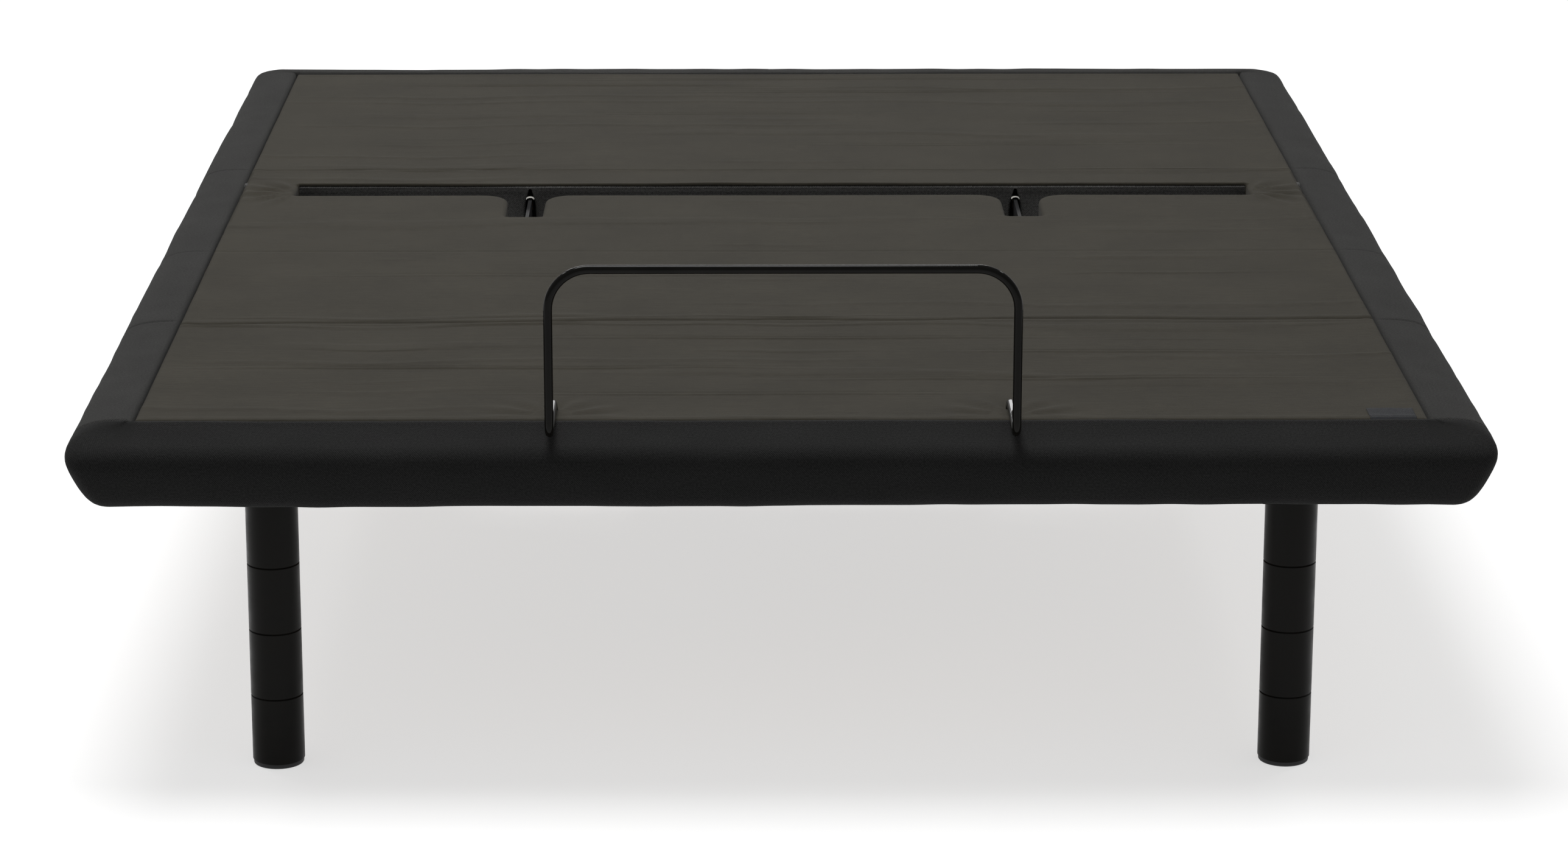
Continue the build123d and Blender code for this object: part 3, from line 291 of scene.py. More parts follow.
def weave(finish, pitch, diagonal):
    """Threads crossing over and under, from 0 in the gaps to 1 on the threads."""
    parts = finish.node("ShaderNodeSeparateXYZ")
    turn = 2.0 * math.pi / pitch
    finish.link(finish.place((turn, turn, turn), True), parts.inputs[0])
    along, across = parts.outputs["X"], parts.outputs["Y"]
    if diagonal:
        ribs = finish.math("SINE", finish.math("ADD", along, finish.math("MULTIPLY", across, 0.8)))
        floats = finish.math("SINE", finish.math("SUBTRACT", along, across))
        both = finish.math("ADD", finish.math("MULTIPLY", ribs, 0.3), finish.math("MULTIPLY", floats, 0.2))
    else:
        both = finish.math("MULTIPLY", finish.math("SINE", along), finish.math("SINE", across))
        both = finish.math("MULTIPLY", both, 0.5)
    return finish.math("ADD", both, 0.5)


def deck_cloth():
    """Thin taupe cloth with slubs that run across the bed."""
    colour = (0.0243, 0.0218, 0.0162)
    finish = Finish("deck_cloth_finish", colour, 0.92, Specular_IOR_Level=0.12, Sheen_Weight=0.03)
    slubs = finish.noise((60.0, 750.0, 1.0), 3.0, cloth=True)
    long_slubs = finish.noise((11.0, 230.0, 1.0), 2.0, cloth=True)
    blotches = finish.noise((7.0, 9.0, 1.0), 3.0, cloth=True)
    grain = finish.noise((1500.0, 1500.0, 1.0), 1.0, cloth=True)
    threads = weave(finish, 0.0009, False)
    finish.tint(
        colour,
        finish.ramp(slubs, 0.82, 1.18),
        finish.ramp(long_slubs, 0.93, 1.07),
        finish.ramp(blotches, 0.90, 1.10),
        finish.ramp(grain, 0.80, 1.20),
    )
    finish.raise_by((threads, 0.00010), (slubs, 0.00012), (long_slubs, 0.00022))
    return finish.material


def twill(name, colour, sheen):
    """Heavier heathered twill with a diagonal rib."""
    finish = Finish(name, colour, 0.9, Specular_IOR_Level=0.11, Sheen_Weight=sheen, Sheen_Roughness=0.45)
    threads = weave(finish, 0.0024, True)
    wear = finish.noise((9.0, 22.0, 1.0), 3.0, cloth=True)
    heather = finish.noise((430.0, 430.0, 1.0), 2.0, cloth=True)
    finish.tint(
        colour,
        finish.ramp(threads, 0.62, 1.25, 0.1, 0.9),
        finish.ramp(wear, 0.9, 1.1),
        finish.ramp(heather, 0.62, 1.38),
    )
    finish.raise_by((threads, 0.0005), (heather, 0.0004))
    return finish.material


def painted_steel():
    """Black powder coat with orange peel and dust on top."""
    colour = (0.009, 0.009, 0.0094)
    finish = Finish("powder_coat", colour, 0.58, Specular_IOR_Level=0.08)
    peel = finish.noise((420.0, 420.0, 420.0), 2.0)
    dust = finish.noise((14.0, 14.0, 14.0), 4.0)
    finish.tint(colour, finish.ramp(dust, 0.75, 1.25))
    finish.roughen(dust, 0.50, 0.68)
    finish.raise_by((peel, 0.0001))
    return finish.material


def zinc_plate():
    colour = (0.62, 0.62, 0.60)
    finish = Finish("bright_zinc", colour, 0.28, Metallic=1.0)
    spangle = finish.noise((260.0, 260.0, 260.0), 3.0)
    finish.tint(colour, finish.ramp(spangle, 0.8, 1.1))
    finish.roughen(spangle, 0.18, 0.42)
    return finish.material


def brushed_metal(name, colour, low, high):
    finish = Finish(name, colour, low, Metallic=1.0)
    brush = finish.noise((900.0, 30.0, 900.0), 2.0)
    stain = finish.noise((18.0, 18.0, 18.0), 3.0)
    finish.tint(colour, finish.ramp(brush, 0.88, 1.08), finish.ramp(stain, 0.9, 1.05))
    finish.roughen(brush, low, high)
    finish.raise_by((brush, 0.00003))
    return finish.material


def moulded(name, colour, roughness, grain_size, depth, shine=0.25):
    """Moulded plastic or rubber with a fine texture."""
    finish = Finish(name, colour, roughness, Specular_IOR_Level=shine)
    grain = finish.noise((1.0 / grain_size,) * 3, 2.0)
    scuffs = finish.noise((25.0, 25.0, 60.0), 4.0)
    finish.tint(colour, finish.ramp(scuffs, 0.8, 1.3))
    finish.roughen(scuffs, roughness - 0.06, roughness + 0.1)
    finish.raise_by((grain, depth))
    return finish.material


def gloss_paint():
    colour = (0.0035, 0.0033, 0.0028)
    finish = Finish("gloss_black_enamel", colour, 0.08, Specular_IOR_Level=0.08)
    peel = finish.noise((300.0, 300.0, 300.0), 1.0)
    handling = finish.noise((30.0, 30.0, 30.0), 3.0)
    finish.tint(colour, finish.ramp(handling, 0.9, 1.3))
    finish.roughen(handling, 0.05, 0.11)
    finish.raise_by((peel, 0.00003))
    return finish.material


def plywood():
    colour = (0.36, 0.245, 0.14)
    finish = Finish("birch_plywood", colour, 0.62)
    grain = finish.noise((4.0, 160.0, 160.0), 5.0)
    figure = finish.noise((1.5, 18.0, 40.0), 4.0)
    plies = finish.noise((1.0, 1.0, 700.0), 0.0)
    finish.tint(
        colour,
        finish.ramp(grain, 0.8, 1.12),
        finish.ramp(figure, 0.78, 1.15),
        finish.ramp(plies, 0.8, 1.1),
    )
    finish.roughen(grain, 0.5, 0.75)
    finish.raise_by((grain, 0.0002))
    return finish.material


def tag_weave():
    colour = (0.0050, 0.0058, 0.0075)
    finish = Finish("tag_satin_weave", colour, 0.6, Specular_IOR_Level=0.15)
    threads = weave(finish, 0.0007, False)
    finish.tint(colour, finish.ramp(threads, 0.7, 1.6, 0.1, 0.9))
    finish.raise_by((threads, 0.0002))
    return finish.material


def pale_floor():
    colour = (0.45, 0.45, 0.45)
    finish = Finish("pale_floor", colour, 0.9, Specular_IOR_Level=0.0)
    finish.shader.inputs["Emission Color"].default_value = (1.0, 1.0, 1.0, 1.0)
    finish.shader.inputs["Emission Strength"].default_value = 0.60
    return finish.material


DECK_CLOTH = deck_cloth()
BORDER_TWILL = twill("border_twill_finish", (0.0195, 0.0193, 0.0184), 0.03)
# Painted shade: the border twill again, made much darker, for the front run of the border that faces away
# from the overhead light
SHADED_FRONT_TWILL = twill("front_twill_painted_shade", (0.0088, 0.0088, 0.0087), 0.02)
# Painted light: the same twill made lighter, standing in for the light that falls on the face of the head
# section
LIT_FACE_TWILL = twill("face_twill_painted_light", (0.0520, 0.0515, 0.0500), 0.03)
FINISHES = {
    "chassis_paint": painted_steel(),
    "zinc": zinc_plate(),
    "leg_plastic": moulded("leg_satin_plastic", (0.0035, 0.0032, 0.0026), 0.34, 0.0012, 0.00004, 0.08),
    "black_plastic": moulded("textured_plastic", (0.016, 0.016, 0.017), 0.5, 0.0007, 0.00008),
    "black_rubber": moulded("black_rubber_finish", (0.014, 0.014, 0.014), 0.7, 0.0009, 0.00005),
    "motor_steel": brushed_metal("motor_can_steel", (0.30, 0.30, 0.31), 0.3, 0.5),
    "tube_aluminium": brushed_metal("anodised_tube", (0.55, 0.56, 0.57), 0.25, 0.42),
    "rod_steel": brushed_metal("push_rod_steel", (0.60, 0.60, 0.60), 0.16, 0.3),
    "nylon": moulded("white_nylon", (0.70, 0.69, 0.64), 0.45, 0.001, 0.00004),
    "plywood": plywood(),
    "gloss_black_paint": gloss_paint(),
}

for node in frame["nodes"].values():
    for slot in node.material_slots:
        slot.material = FINISHES.get(slot.material.name, slot.material)


# ---------------------------------------------------------------- outlines


def rounded_path(corners, spacing=GRID):
    """A closed outline from (x, y, radius) corners, sampled along its runs and arcs."""
    path = []
    count = len(corners)
    for index, (x, y, radius) in enumerate(corners):
        here = Vector((x, y))
        before = Vector(corners[index - 1][:2]) - here
        after = Vector(corners[(index + 1) % count][:2]) - here
        a, b = before.normalized(), after.normalized()
        half = a.angle(b) / 2.0
        reach = radius / math.tan(half)
        centre = here + (a + b).normalized() * (radius / math.sin(half))
        start, end = here + a * reach - centre, here + b * reach - centre
        sweep = start.angle_signed(end)
        steps = max(4, int(radius * abs(sweep) / 0.003))
        for step in range(steps + 1):
            angle = -sweep * step / steps
            turned = Matrix.Rotation(angle, 2) @ start
            path.append(centre + turned)
    dense = []
    for index, point in enumerate(path):
        following = path[(index + 1) % len(path)]
        length = (following - point).length
        steps = max(1, int(length / spacing))
        for step in range(steps):
            dense.append(point.lerp(following, step / steps))
    return np.array([tuple(p) for p in dense])


def outward_normals(path):
    """Unit normals that point out of a closed path."""
    following = np.roll(path, -1, axis=0)
    ahead = following - path
    behind = path - np.roll(path, 1, axis=0)
    ahead /= np.maximum(np.linalg.norm(ahead, axis=1, keepdims=True), 1e-12)
    behind /= np.maximum(np.linalg.norm(behind, axis=1, keepdims=True), 1e-12)
    tangent = ahead + behind
    tangent /= np.maximum(np.linalg.norm(tangent, axis=1, keepdims=True), 1e-12)
    right = np.stack([tangent[:, 1], -tangent[:, 0]], axis=1)
    twice_area = (path[:, 0] * following[:, 1] - following[:, 0] * path[:, 1]).sum()
    return right * math.copysign(1.0, twice_area)


def inside(points, loop):
    """Which points lie inside the closed loop."""
    x, y = points[:, 0], points[:, 1]
    found = np.zeros(len(points), dtype=bool)
    for a, b in zip(loop, np.roll(loop, -1, axis=0)):
        crosses = (a[1] > y) != (b[1] > y)
        at = (b[0] - a[0]) * (y - a[1]) / (b[1] - a[1] + 1e-15) + a[0]
        found ^= crosses & (x < at)
    return found


def distance_to(points, loop):
    """Distance from each point to the nearest point of the loop."""
    best = np.full(len(points), 1e9)
    for start in range(0, len(loop), 64):
        part = loop[start : start + 64]
        gap = np.linalg.norm(points[:, None] - part[None], axis=2).min(axis=1)
        best = np.minimum(best, gap)
    return best


def fill_region(outer, holes, lattice):
    """Triangles inside outer and outside the holes, through the lattice points that lie there."""
    keep = inside(lattice, outer) & (distance_to(lattice, outer) > 0.5 * GRID)
    for hole in holes:
        keep &= ~inside(lattice, hole) & (distance_to(lattice, hole) > 0.5 * GRID)
    points, edges = [lattice[keep]], []
    total = int(keep.sum())
    for loop in (outer, *holes):
        count = len(loop)
        edges += [(total + k, total + (k + 1) % count) for k in range(count)]
        points.append(loop)
        total += count
    points = np.concatenate(points)
    found = delaunay_2d_cdt([Vector(p) for p in points], edges, [], 1, 1e-7)
    flat = np.array([tuple(p) for p in found[0]])
    faces = [tuple(face) for face in found[2]]
    centres = np.array([flat[list(face)].mean(axis=0) for face in faces])
    good = inside(centres, outer)
    for hole in holes:
        good &= ~inside(centres, hole)
    return flat, [face for face, ok in zip(faces, good) if ok]


def rolled_edge(points, faces, loop, onto, roll, depths):
    """Adds rows of (x, y, drop) points that roll over the loop's edge and run down its wall.

    onto: directions from the loop onto the panel; roll and depths: one value for each point.
    """
    rows = [np.column_stack([loop + onto * roll[:, None], np.zeros(len(loop))])]
    for step in range(1, 6):
        angle = math.pi / 2 * step / 5
        place = loop + onto * (roll * (1.0 - math.sin(angle)))[:, None]
        rows.append(np.column_stack([place, roll * (1.0 - math.cos(angle))]))
    for step in range(1, 6):
        rows.append(np.column_stack([loop, roll + (depths - roll) * step / 5]))
    base, count = len(points), len(loop)
    for index in range(1, len(rows)):
        here, above = base + index * count, base + (index - 1) * count
        for k in range(count):
            following = (k + 1) % count
            faces.append((above + k, above + following, here + following, here + k))
    return np.concatenate([points, *rows]), faces


# ---------------------------------------------------------------- deck cloth

# Creases across the cloth: place along the bed, middle and half length across it, height
CREASES = [
    (0.905, 0.10, 0.55, 0.0010),
    (0.858, -0.25, 0.40, 0.0012),
    (0.812, 0.22, 0.45, 0.0010),
    (0.660, -0.05, 0.30, 0.0007),
    (0.450, 0.30, 0.35, 0.0007),
    (-0.300, -0.20, 0.45, 0.0007),
    (-0.600, 0.02, 0.40, 0.0012),
    (-0.664, 0.38, 0.25, 0.0010),
    (-0.732, -0.32, 0.42, 0.0014),
    (-0.780, 0.28, 0.36, 0.0011),
    (-0.842, -0.05, 0.34, 0.0009),
]


def crease_lines(x, y):
    """Narrow ridges with a dip beside them, left where the cloth was folded."""
    rise = np.zeros_like(x)
    for seed, (line, middle, half, height) in enumerate(CREASES):
        along = smooth(1.3 * (1.0 - np.abs(x - middle) / half))
        gap = y - line - 0.0035 * waves(x, 60 + seed, 4, 0.9)
        rise += height * along * (bump(gap, 0.005) - 0.6 * bump(gap - 0.007, 0.006))
    return rise


def knee_line(x):
    """Where the cloth's fold over the knee runs: it wanders a little."""
    return KNEE_FOLD_Y + 0.002 + 0.014 * x + 0.0055 * waves(x, 3, 5, 1.1)


def deck_relief(x, y):
    """How far the deck cloth stands above or below its flat height."""
    rise = 0.0005 * lattice_noise(x, y, 0.30, 0.060, 1)
    creases = lattice_noise(x, y + 0.01 * waves(x, 5), 0.45, 0.020, 2)
    rise += 0.0010 * smooth((creases - 0.52) / 0.35)
    rise -= 0.0012 * bump(y - HEAD_SEAM_Y - 0.0015 * waves(x, 7), 0.0045)
    rise += 0.0005 * bump(y - HEAD_SEAM_Y + 0.008, 0.008)
    rise -= 0.0006 * bump(y - THIGH_FOLD_Y - 0.001 * waves(x, 9), 0.006)
    knee = y - knee_line(x)
    rise -= 0.0020 * bump(knee, 0.005)
    rise += 0.0012 * bump(knee - 0.010, 0.009) * (0.6 + 0.4 * waves(x, 11, 4, 0.7))
    rise += 0.0008 * bump(knee + 0.010, 0.008)
    rise += crease_lines(x, y)
    for side in (-1, 1):
        rise += slot_end_wrinkles(side * x, y)
        rise += bar_foot_pucker(side * x, y)
    edge = np.minimum(SEAM_X - np.abs(x), np.minimum(y - SEAM_FRONT, SEAM_REAR - y))
    rise -= SEAM_DEPTH * bump(edge, 0.0035)
    rise += 0.0008 * bump(edge - 0.010, 0.009)
    return rise


def slot_end_wrinkles(x, y):
    """Folds that fan out from the slot's end, where the cloth is pulled round the corner."""
    dx, dy = x - SLOT_END_X, y - (SLOT_FRONT + 0.012)
    radius = np.hypot(dx, dy)
    angle = np.arctan2(dy, dx)
    fan = np.sin(11.0 * angle + 25.0 * radius)
    strength = smooth((radius - 0.006) / 0.02) * (1.0 - smooth((radius - 0.035) / 0.06))
    return 0.0024 * fan * strength * smooth(dx / 0.02 + 0.4) * (dx > -0.03)


def bar_foot_pucker(x, y):
    """Cloth drawn in round the retainer bar, pressed under its foot, and fanned out in front of it."""
    dx, dy = x - BAR_FOOT_X, y - BAR_FOOT_Y
    rise = -0.0024 * np.exp(-(np.hypot(dx, dy) / 0.013) ** 2)
    rise -= 0.0012 * bump(dx, 0.011) * smooth(-dy / 0.01)
    dy = dy + 0.043
    radius, angle = np.hypot(dx, dy), np.arctan2(dy, np.abs(dx))
    folds = np.sin(11.0 * angle + 22.0 * radius + 0.4)
    strength = smooth((radius - 0.008) / 0.02) * (1.0 - smooth((radius - 0.050) / 0.045))
    return rise + 0.0015 * folds * strength * smooth(angle / 0.25 + 0.5)


def grid_lines():
    """The deck mesh's columns and rows, finer across the seams and folds."""
    count = int(2 * SEAM_X / GRID)
    xs = np.linspace(-SEAM_X, SEAM_X, count + 1)
    edges = np.array([0.0012, 0.003, 0.006, 0.011])
    xs = np.concatenate([xs, -SEAM_X + edges, SEAM_X - edges])
    ys = list(np.arange(SEAM_FRONT, SEAM_REAR, GRID)) + [SEAM_REAR, MIDDLE_FRONT, MIDDLE_REAR]
    fine = [(HEAD_SEAM_Y, 0.010), (THIGH_FOLD_Y, 0.010), (KNEE_FOLD_Y, 0.030)]
    fine += [(crease[0], 0.012) for crease in CREASES]
    for line, reach in fine:
        ys = [y for y in ys if abs(y - line) > reach]
        ys += list(np.arange(line - reach, line + reach + 1e-6, 0.002))
    ys += list(SEAM_FRONT + edges) + list(SEAM_REAR - edges)
    ys = [y for y in ys if all(abs(y - s) > 0.0015 or y == s for s in (MIDDLE_FRONT, MIDDLE_REAR))]
    return np.unique(np.round(xs, 6)), np.unique(np.round(ys, 6))


def slot_outline():
    """The opening between head and seat with its two notches, counter-clockwise seen from above."""
    n, m, b = NOTCH_HALF, MOUTH_RADIUS, BASE_RADIUS
    corners = [(SLOT_END_X, SLOT_REAR, SLOT_CORNER), (-SLOT_END_X, SLOT_REAR, SLOT_CORNER)]
    corners.append((-SLOT_END_X, SLOT_FRONT, SLOT_CORNER))
    for centre in (-ARM_X, ARM_X):
        corners.append((centre - n - 0.001, SLOT_FRONT, m))
        corners.append((centre - n, NOTCH_BASE_Y, b))
        corners.append((centre + n, NOTCH_BASE_Y, b))
        corners.append((centre + n + 0.001, SLOT_FRONT, m))
    corners.append((SLOT_END_X, SLOT_FRONT, SLOT_CORNER))
    return rounded_path(corners)


def deck_band(xs, ys):
    """The part of the deck cloth round the slot: its triangles, rolled edge and walls."""
    outer_top = [(x, ys[-1]) for x in xs[::-1]]
    outer_left = [(xs[0], y) for y in ys[-2:0:-1]]
    outer_bottom = [(x, ys[0]) for x in xs]
    outer_right = [(xs[-1], y) for y in ys[1:-1]]
    outer = np.array(outer_bottom + outer_right + outer_top + outer_left)
    slot = slot_outline()
    onto = outward_normals(slot)
    at_head = slot[:, 1] > SLOT_REAR - 0.002
    roll = np.where(at_head, HEAD_EDGE_ROLL, EDGE_ROLL)
    depths = np.where(at_head, HEAD_EDGE_DEPTH, TOP - BOARD_UNDER + 0.004)
    grid = np.array([(x, y) for y in ys[1:-1] for x in xs[1:-1]])
    flat, faces = fill_region(outer, [slot + onto * roll[:, None]], grid)
    points = np.column_stack([flat, np.zeros(len(flat))])
    return rolled_edge(points, faces, slot, onto, roll, depths)


def deck_cloth_sheet():
    """All of the deck cloth as one set of (x, y, drop) points and faces."""
    xs, ys = grid_lines()
    band = (ys > MIDDLE_REAR + 0.004) & (ys < HEAD_SEAM_Y - 0.012)
    band_rows = ys[band]
    points, faces = deck_band(xs, band_rows)
    points = [points]
    total = len(points[0])
    for rows in (ys[ys <= band_rows[0]], ys[ys >= band_rows[-1]]):
        patch = np.array([(x, y, 0.0) for y in rows for x in xs])
        wide = len(xs)
        for j in range(len(rows) - 1):
            for i in range(wide - 1):
                a = total + j * wide + i
                faces.append((a, a + 1, a + 1 + wide, a + wide))
        points.append(patch)
        total += len(patch)
    return np.concatenate(points), faces


def make_deck():
    flat, faces = deck_cloth_sheet()
    relief = deck_relief(flat[:, 0], flat[:, 1]) * np.exp(-flat[:, 2] / 0.01)
    points = np.column_stack([flat[:, 0], flat[:, 1], TOP + relief - flat[:, 2]])
    cloth = np.column_stack([flat[:, 0], flat[:, 1] - flat[:, 2]])
    return split_lengths("deck_cloth", points, faces, cloth, [DECK_CLOTH], None)


def split_lengths(name, points, faces, cloth, materials, indices):
    """Cuts a cover into its head, middle and foot lengths."""
    centres = np.array([points[list(face), 1].mean() for face in faces])
    made = {}
    spans = {"head": (MIDDLE_REAR, math.inf), "middle": (MIDDLE_FRONT, MIDDLE_REAR)}
    spans["foot"] = (-math.inf, MIDDLE_FRONT)
    for part, (low, high) in spans.items():
        chosen = [k for k in range(len(faces)) if low <= centres[k] < high]
        used = sorted({index for k in chosen for index in faces[k]})
        renumber = {old: new for new, old in enumerate(used)}
        part_faces = [tuple(renumber[index] for index in faces[k]) for k in chosen]
        part_indices = None if indices is None else [indices[k] for k in chosen]
        obj = new_object(f"{name}_{part}", points[used], part_faces, materials, part_indices)
        set_uv(obj, cloth[used])
        made[part] = weld(obj)
    return made


# ---------------------------------------------------------------- border

# Each profile goes outward and down from the seam, round the roll and back under the hem.
SIDE_PROFILE = [
    (0.010, 0.0014), (0.022, 0.0012), (0.034, 0.0004), (0.0450, -0.0014), (0.0545, -0.0046),
    (0.0615, -0.0094), (0.0654, -0.0152), (0.0669, -0.0215), (0.0667, -0.0290), (0.0640, -0.0375),
    (0.0602, -0.0460), (0.0560, -0.0545), (0.0518, -0.0625), (0.0475, -0.0695), (0.0425, -0.0762),
    (0.0355, -0.0812), (0.0290, -0.0800), (0.0300, -0.0730), (0.0420, -0.0640), (0.0450, -0.0460),
]
FRONT_PROFILE = [
    (0.010, -0.0008), (0.020, -0.0048), (0.032, -0.0088), (0.0430, -0.0122), (0.0520, -0.0150),
    (0.0595, -0.0195), (0.0642, -0.0255), (0.0655, -0.0330), (0.0648, -0.0420), (0.0625, -0.0530),
    (0.0595, -0.0640), (0.0555, -0.0740), (0.0500, -0.0800), (0.0430, -0.0828), (0.0340, -0.0815),
    (0.0320, -0.0740), (0.0410, -0.0640), (0.0430, -0.0460),
]
REAR_PROFILE = [
    (0.010, 0.0016), (0.022, 0.0014), (0.034, 0.0002), (0.045, -0.0032), (0.0540, -0.0090),
    (0.0605, -0.0165), (0.0645, -0.0250), (0.0665, -0.0350), (0.0665, -0.0460), (0.0650, -0.0580),
    (0.0610, -0.0690), (0.0550, -0.0775), (0.0480, -0.0820), (0.0380, -0.0815), (0.0350, -0.0740),
    (0.0440, -0.0640), (0.0455, -0.0460),
]
SEAM_PROFILE = [(0.0, -SEAM_DEPTH), (0.0006, -0.0030), (0.0015, -0.0008), (0.0040, 0.0010)]
PROFILE_ROWS = 52
CORNER_RADIUS = 0.020


def resampled(profile):
    """The profile as a smooth curve of evenly spaced points, with the seam's own points first."""
    points = np.array(SEAM_PROFILE[-1:] + profile)
    steps = np.concatenate([[0.0], np.cumsum(np.linalg.norm(np.diff(points, axis=0), axis=1))])
    fine = np.linspace(0.0, steps[-1], 400)
    curve = np.column_stack([np.interp(fine, steps, points[:, k]) for k in range(2)])
    kernel = np.hanning(17) / np.hanning(17).sum()
    padded = np.pad(curve, ((8, 8), (0, 0)), mode="edge")
    soft = np.column_stack([np.convolve(padded[:, k], kernel, mode="valid") for k in range(2)])
    soft[0], soft[-1] = curve[0], curve[-1]
    chosen = np.linspace(0, len(soft) - 1, PROFILE_ROWS - len(SEAM_PROFILE) + 1).astype(int)
    return np.concatenate([np.array(SEAM_PROFILE[:-1]), soft[chosen]])


def border_columns(ys):
    """Stations round the bed from the middle of the rear: (side, which run, place along it)."""
    xs = np.arange(0.0, SEAM_X, GRID * 1.5)
    stations = [("rear", 1, x) for x in xs]
    corner = np.linspace(0.0, 1.0, 15)
    side_ys = [y for y in ys if SEAM_FRONT <= y <= SEAM_REAR]
    stations += [("rear_corner", 1, t) for t in corner]
    stations += [("side", 1, y) for y in side_ys[::-1]]
    stations += [("front_corner", 1, t) for t in corner]
    stations += [("front", 1, x) for x in xs[::-1]]
    stations += [("front", -1, x) for x in xs[1:]]
    stations += [("front_corner", -1, t) for t in corner[::-1]]
    stations += [("side", -1, y) for y in side_ys]
    stations += [("rear_corner", -1, t) for t in corner[::-1]]
    stations += [("rear", -1, x) for x in xs[::-1]]
    return stations


def corner_point(t, edge_x, end_y, radius, seam_end, direction):
    """t from 0 on the end run, round the corner's arc, to 1 on the side run at the seam's end."""
    centre = np.array([edge_x - radius, end_y - direction * radius])
    if t <= 0.7:
        angle = (t / 0.7) * math.pi / 2
        return centre + radius * np.array([math.sin(angle), direction * math.cos(angle)])
    share = (t - 0.7) / 0.3
    start = np.array([edge_x, centre[1]])
    return start + (np.array([edge_x, seam_end]) - start) * share


def make_border():
    ys = grid_lines()[1]
    side, front, rear = (resampled(p) for p in (SIDE_PROFILE, FRONT_PROFILE, REAR_PROFILE))
    stations = border_columns(ys)
    rows = []
    for k in range(PROFILE_ROWS):
        radius = CORNER_RADIUS * float(smooth(side[k, 0] / 0.05))
        row = []
        for run, sign, place in stations:
            if run == "side":
                x, y, z = SEAM_X + side[k, 0], place, side[k, 1]
            elif run == "front":
                x, y, z = place, SEAM_FRONT - front[k, 0], front[k, 1]
            elif run == "rear":
                x, y, z = place, SEAM_REAR + rear[k, 0], rear[k, 1]
            else:
                ahead = run == "front_corner"
                end, seam_end = (front, SEAM_FRONT) if ahead else (rear, SEAM_REAR)
                direction = -1.0 if ahead else 1.0
                t = 1.0 - place if ahead else place
                end_y = seam_end + direction * end[k, 0]
                x, y = corner_point(t, SEAM_X + side[k, 0], end_y, radius, seam_end, direction)
                share = float(smooth(t))
                z = end[k, 1] * (1.0 - share) + side[k, 1] * share
            row.append((sign * x, y, TOP + z))
        rows.append(row)
    grid = np.array(rows)
    wide = len(stations)
    points = grid.reshape(-1, 3)
    faces = []
    for j in range(PROFILE_ROWS - 1):
        for i in range(wide - 1):
            a = j * wide + i
            faces.append((a, a + 1, a + 1 + wide, a + wide))
    along = np.concatenate([[0.0], np.cumsum(np.linalg.norm(np.diff(grid[20], axis=0), axis=1))])
    down = np.concatenate([[0.0], np.cumsum(np.linalg.norm(np.diff(side, axis=0), axis=1))])
    cloth = np.stack(np.meshgrid(along, down), axis=-1).reshape(-1, 2)
    points = push_out(points, faces, border_relief(points, cloth))
    middles = np.array([points[list(face)].mean(axis=0) for face in faces])
    # The front run gets the darker copy of the border twill: painted shade on the same cloth as the sides
    indices = (middles[:, 1] < SEAM_FRONT).astype(int)
    return split_lengths("border", points, faces, cloth, [BORDER_TWILL, SHADED_FRONT_TWILL], indices)


def border_relief(points, cloth):
    """Seams across the border, and the soft unevenness of foam under cloth."""
    x, y = points[:, 0], points[:, 1]
    beyond = smooth((cloth[:, 1] - 0.004) / 0.01)
    rise = 0.0011 * lattice_noise(cloth[:, 0], cloth[:, 1], 0.11, 0.05, 21)
    rise += 0.0005 * lattice_noise(cloth[:, 0], cloth[:, 1], 0.035, 0.03, 23)
    on_side = np.abs(x) > SEAM_X
    rise -= 0.0016 * bump(y - SEAM_FRONT, 0.004) * on_side
    for line, depth in ((HEAD_SEAM_Y, 0.0009), (THIGH_FOLD_Y, 0.0007), (KNEE_FOLD_Y, 0.0012)):
        rise -= depth * bump(y - line - 0.002 * waves(np.abs(x), 25), 0.005) * on_side
    rise += 0.0012 * bump(cloth[:, 1] - 0.010, 0.006) * (y < SEAM_FRONT)
    return rise * beyond


# ---------------------------------------------------------------- face of the head section

FACE_ROLL = 0.003
SLIT_HALF = 0.009
CLIP_HALF = 0.0055
SLIT_APEX = 0.0055  # below the top of the deck cloth
FACE_DEEP_X = 0.534  # between the chassis rails the face reaches down to the hem
FACE_SHALLOW = BOARD_UNDER - 0.001


def face_outline():
    """The face's outline as (x, z), with an arched slit for each hinge arm."""
    top, deep, shallow = TOP - 0.0025, FACE_LOW.z, FACE_SHALLOW
    edge = FACE_HIGH.x - 0.0005
    corners = [(edge, top, 0.003), (-edge, top, 0.003), (-edge, shallow, 0.003)]
    corners += [(-FACE_DEEP_X, shallow, 0.006), (-FACE_DEEP_X, deep, 0.004)]
    for centre in (-ARM_X, ARM_X):
        corners.append((centre - SLIT_HALF, deep, 0.002))
        corners.append((centre - SLIT_HALF * 0.72, TOP - 0.028, 0.03))
        corners.append((centre - 0.0016, TOP - SLIT_APEX - 0.003, 0.0012))
        corners.append((centre + 0.0016, TOP - SLIT_APEX - 0.003, 0.0012))
        corners.append((centre + SLIT_HALF * 0.72, TOP - 0.028, 0.03))
        corners.append((centre + SLIT_HALF, deep, 0.002))
    corners.append((FACE_DEEP_X, deep, 0.004))
    corners.append((FACE_DEEP_X, shallow, 0.006))
    corners.append((edge, shallow, 0.003))
    return rounded_path(corners, 0.005)


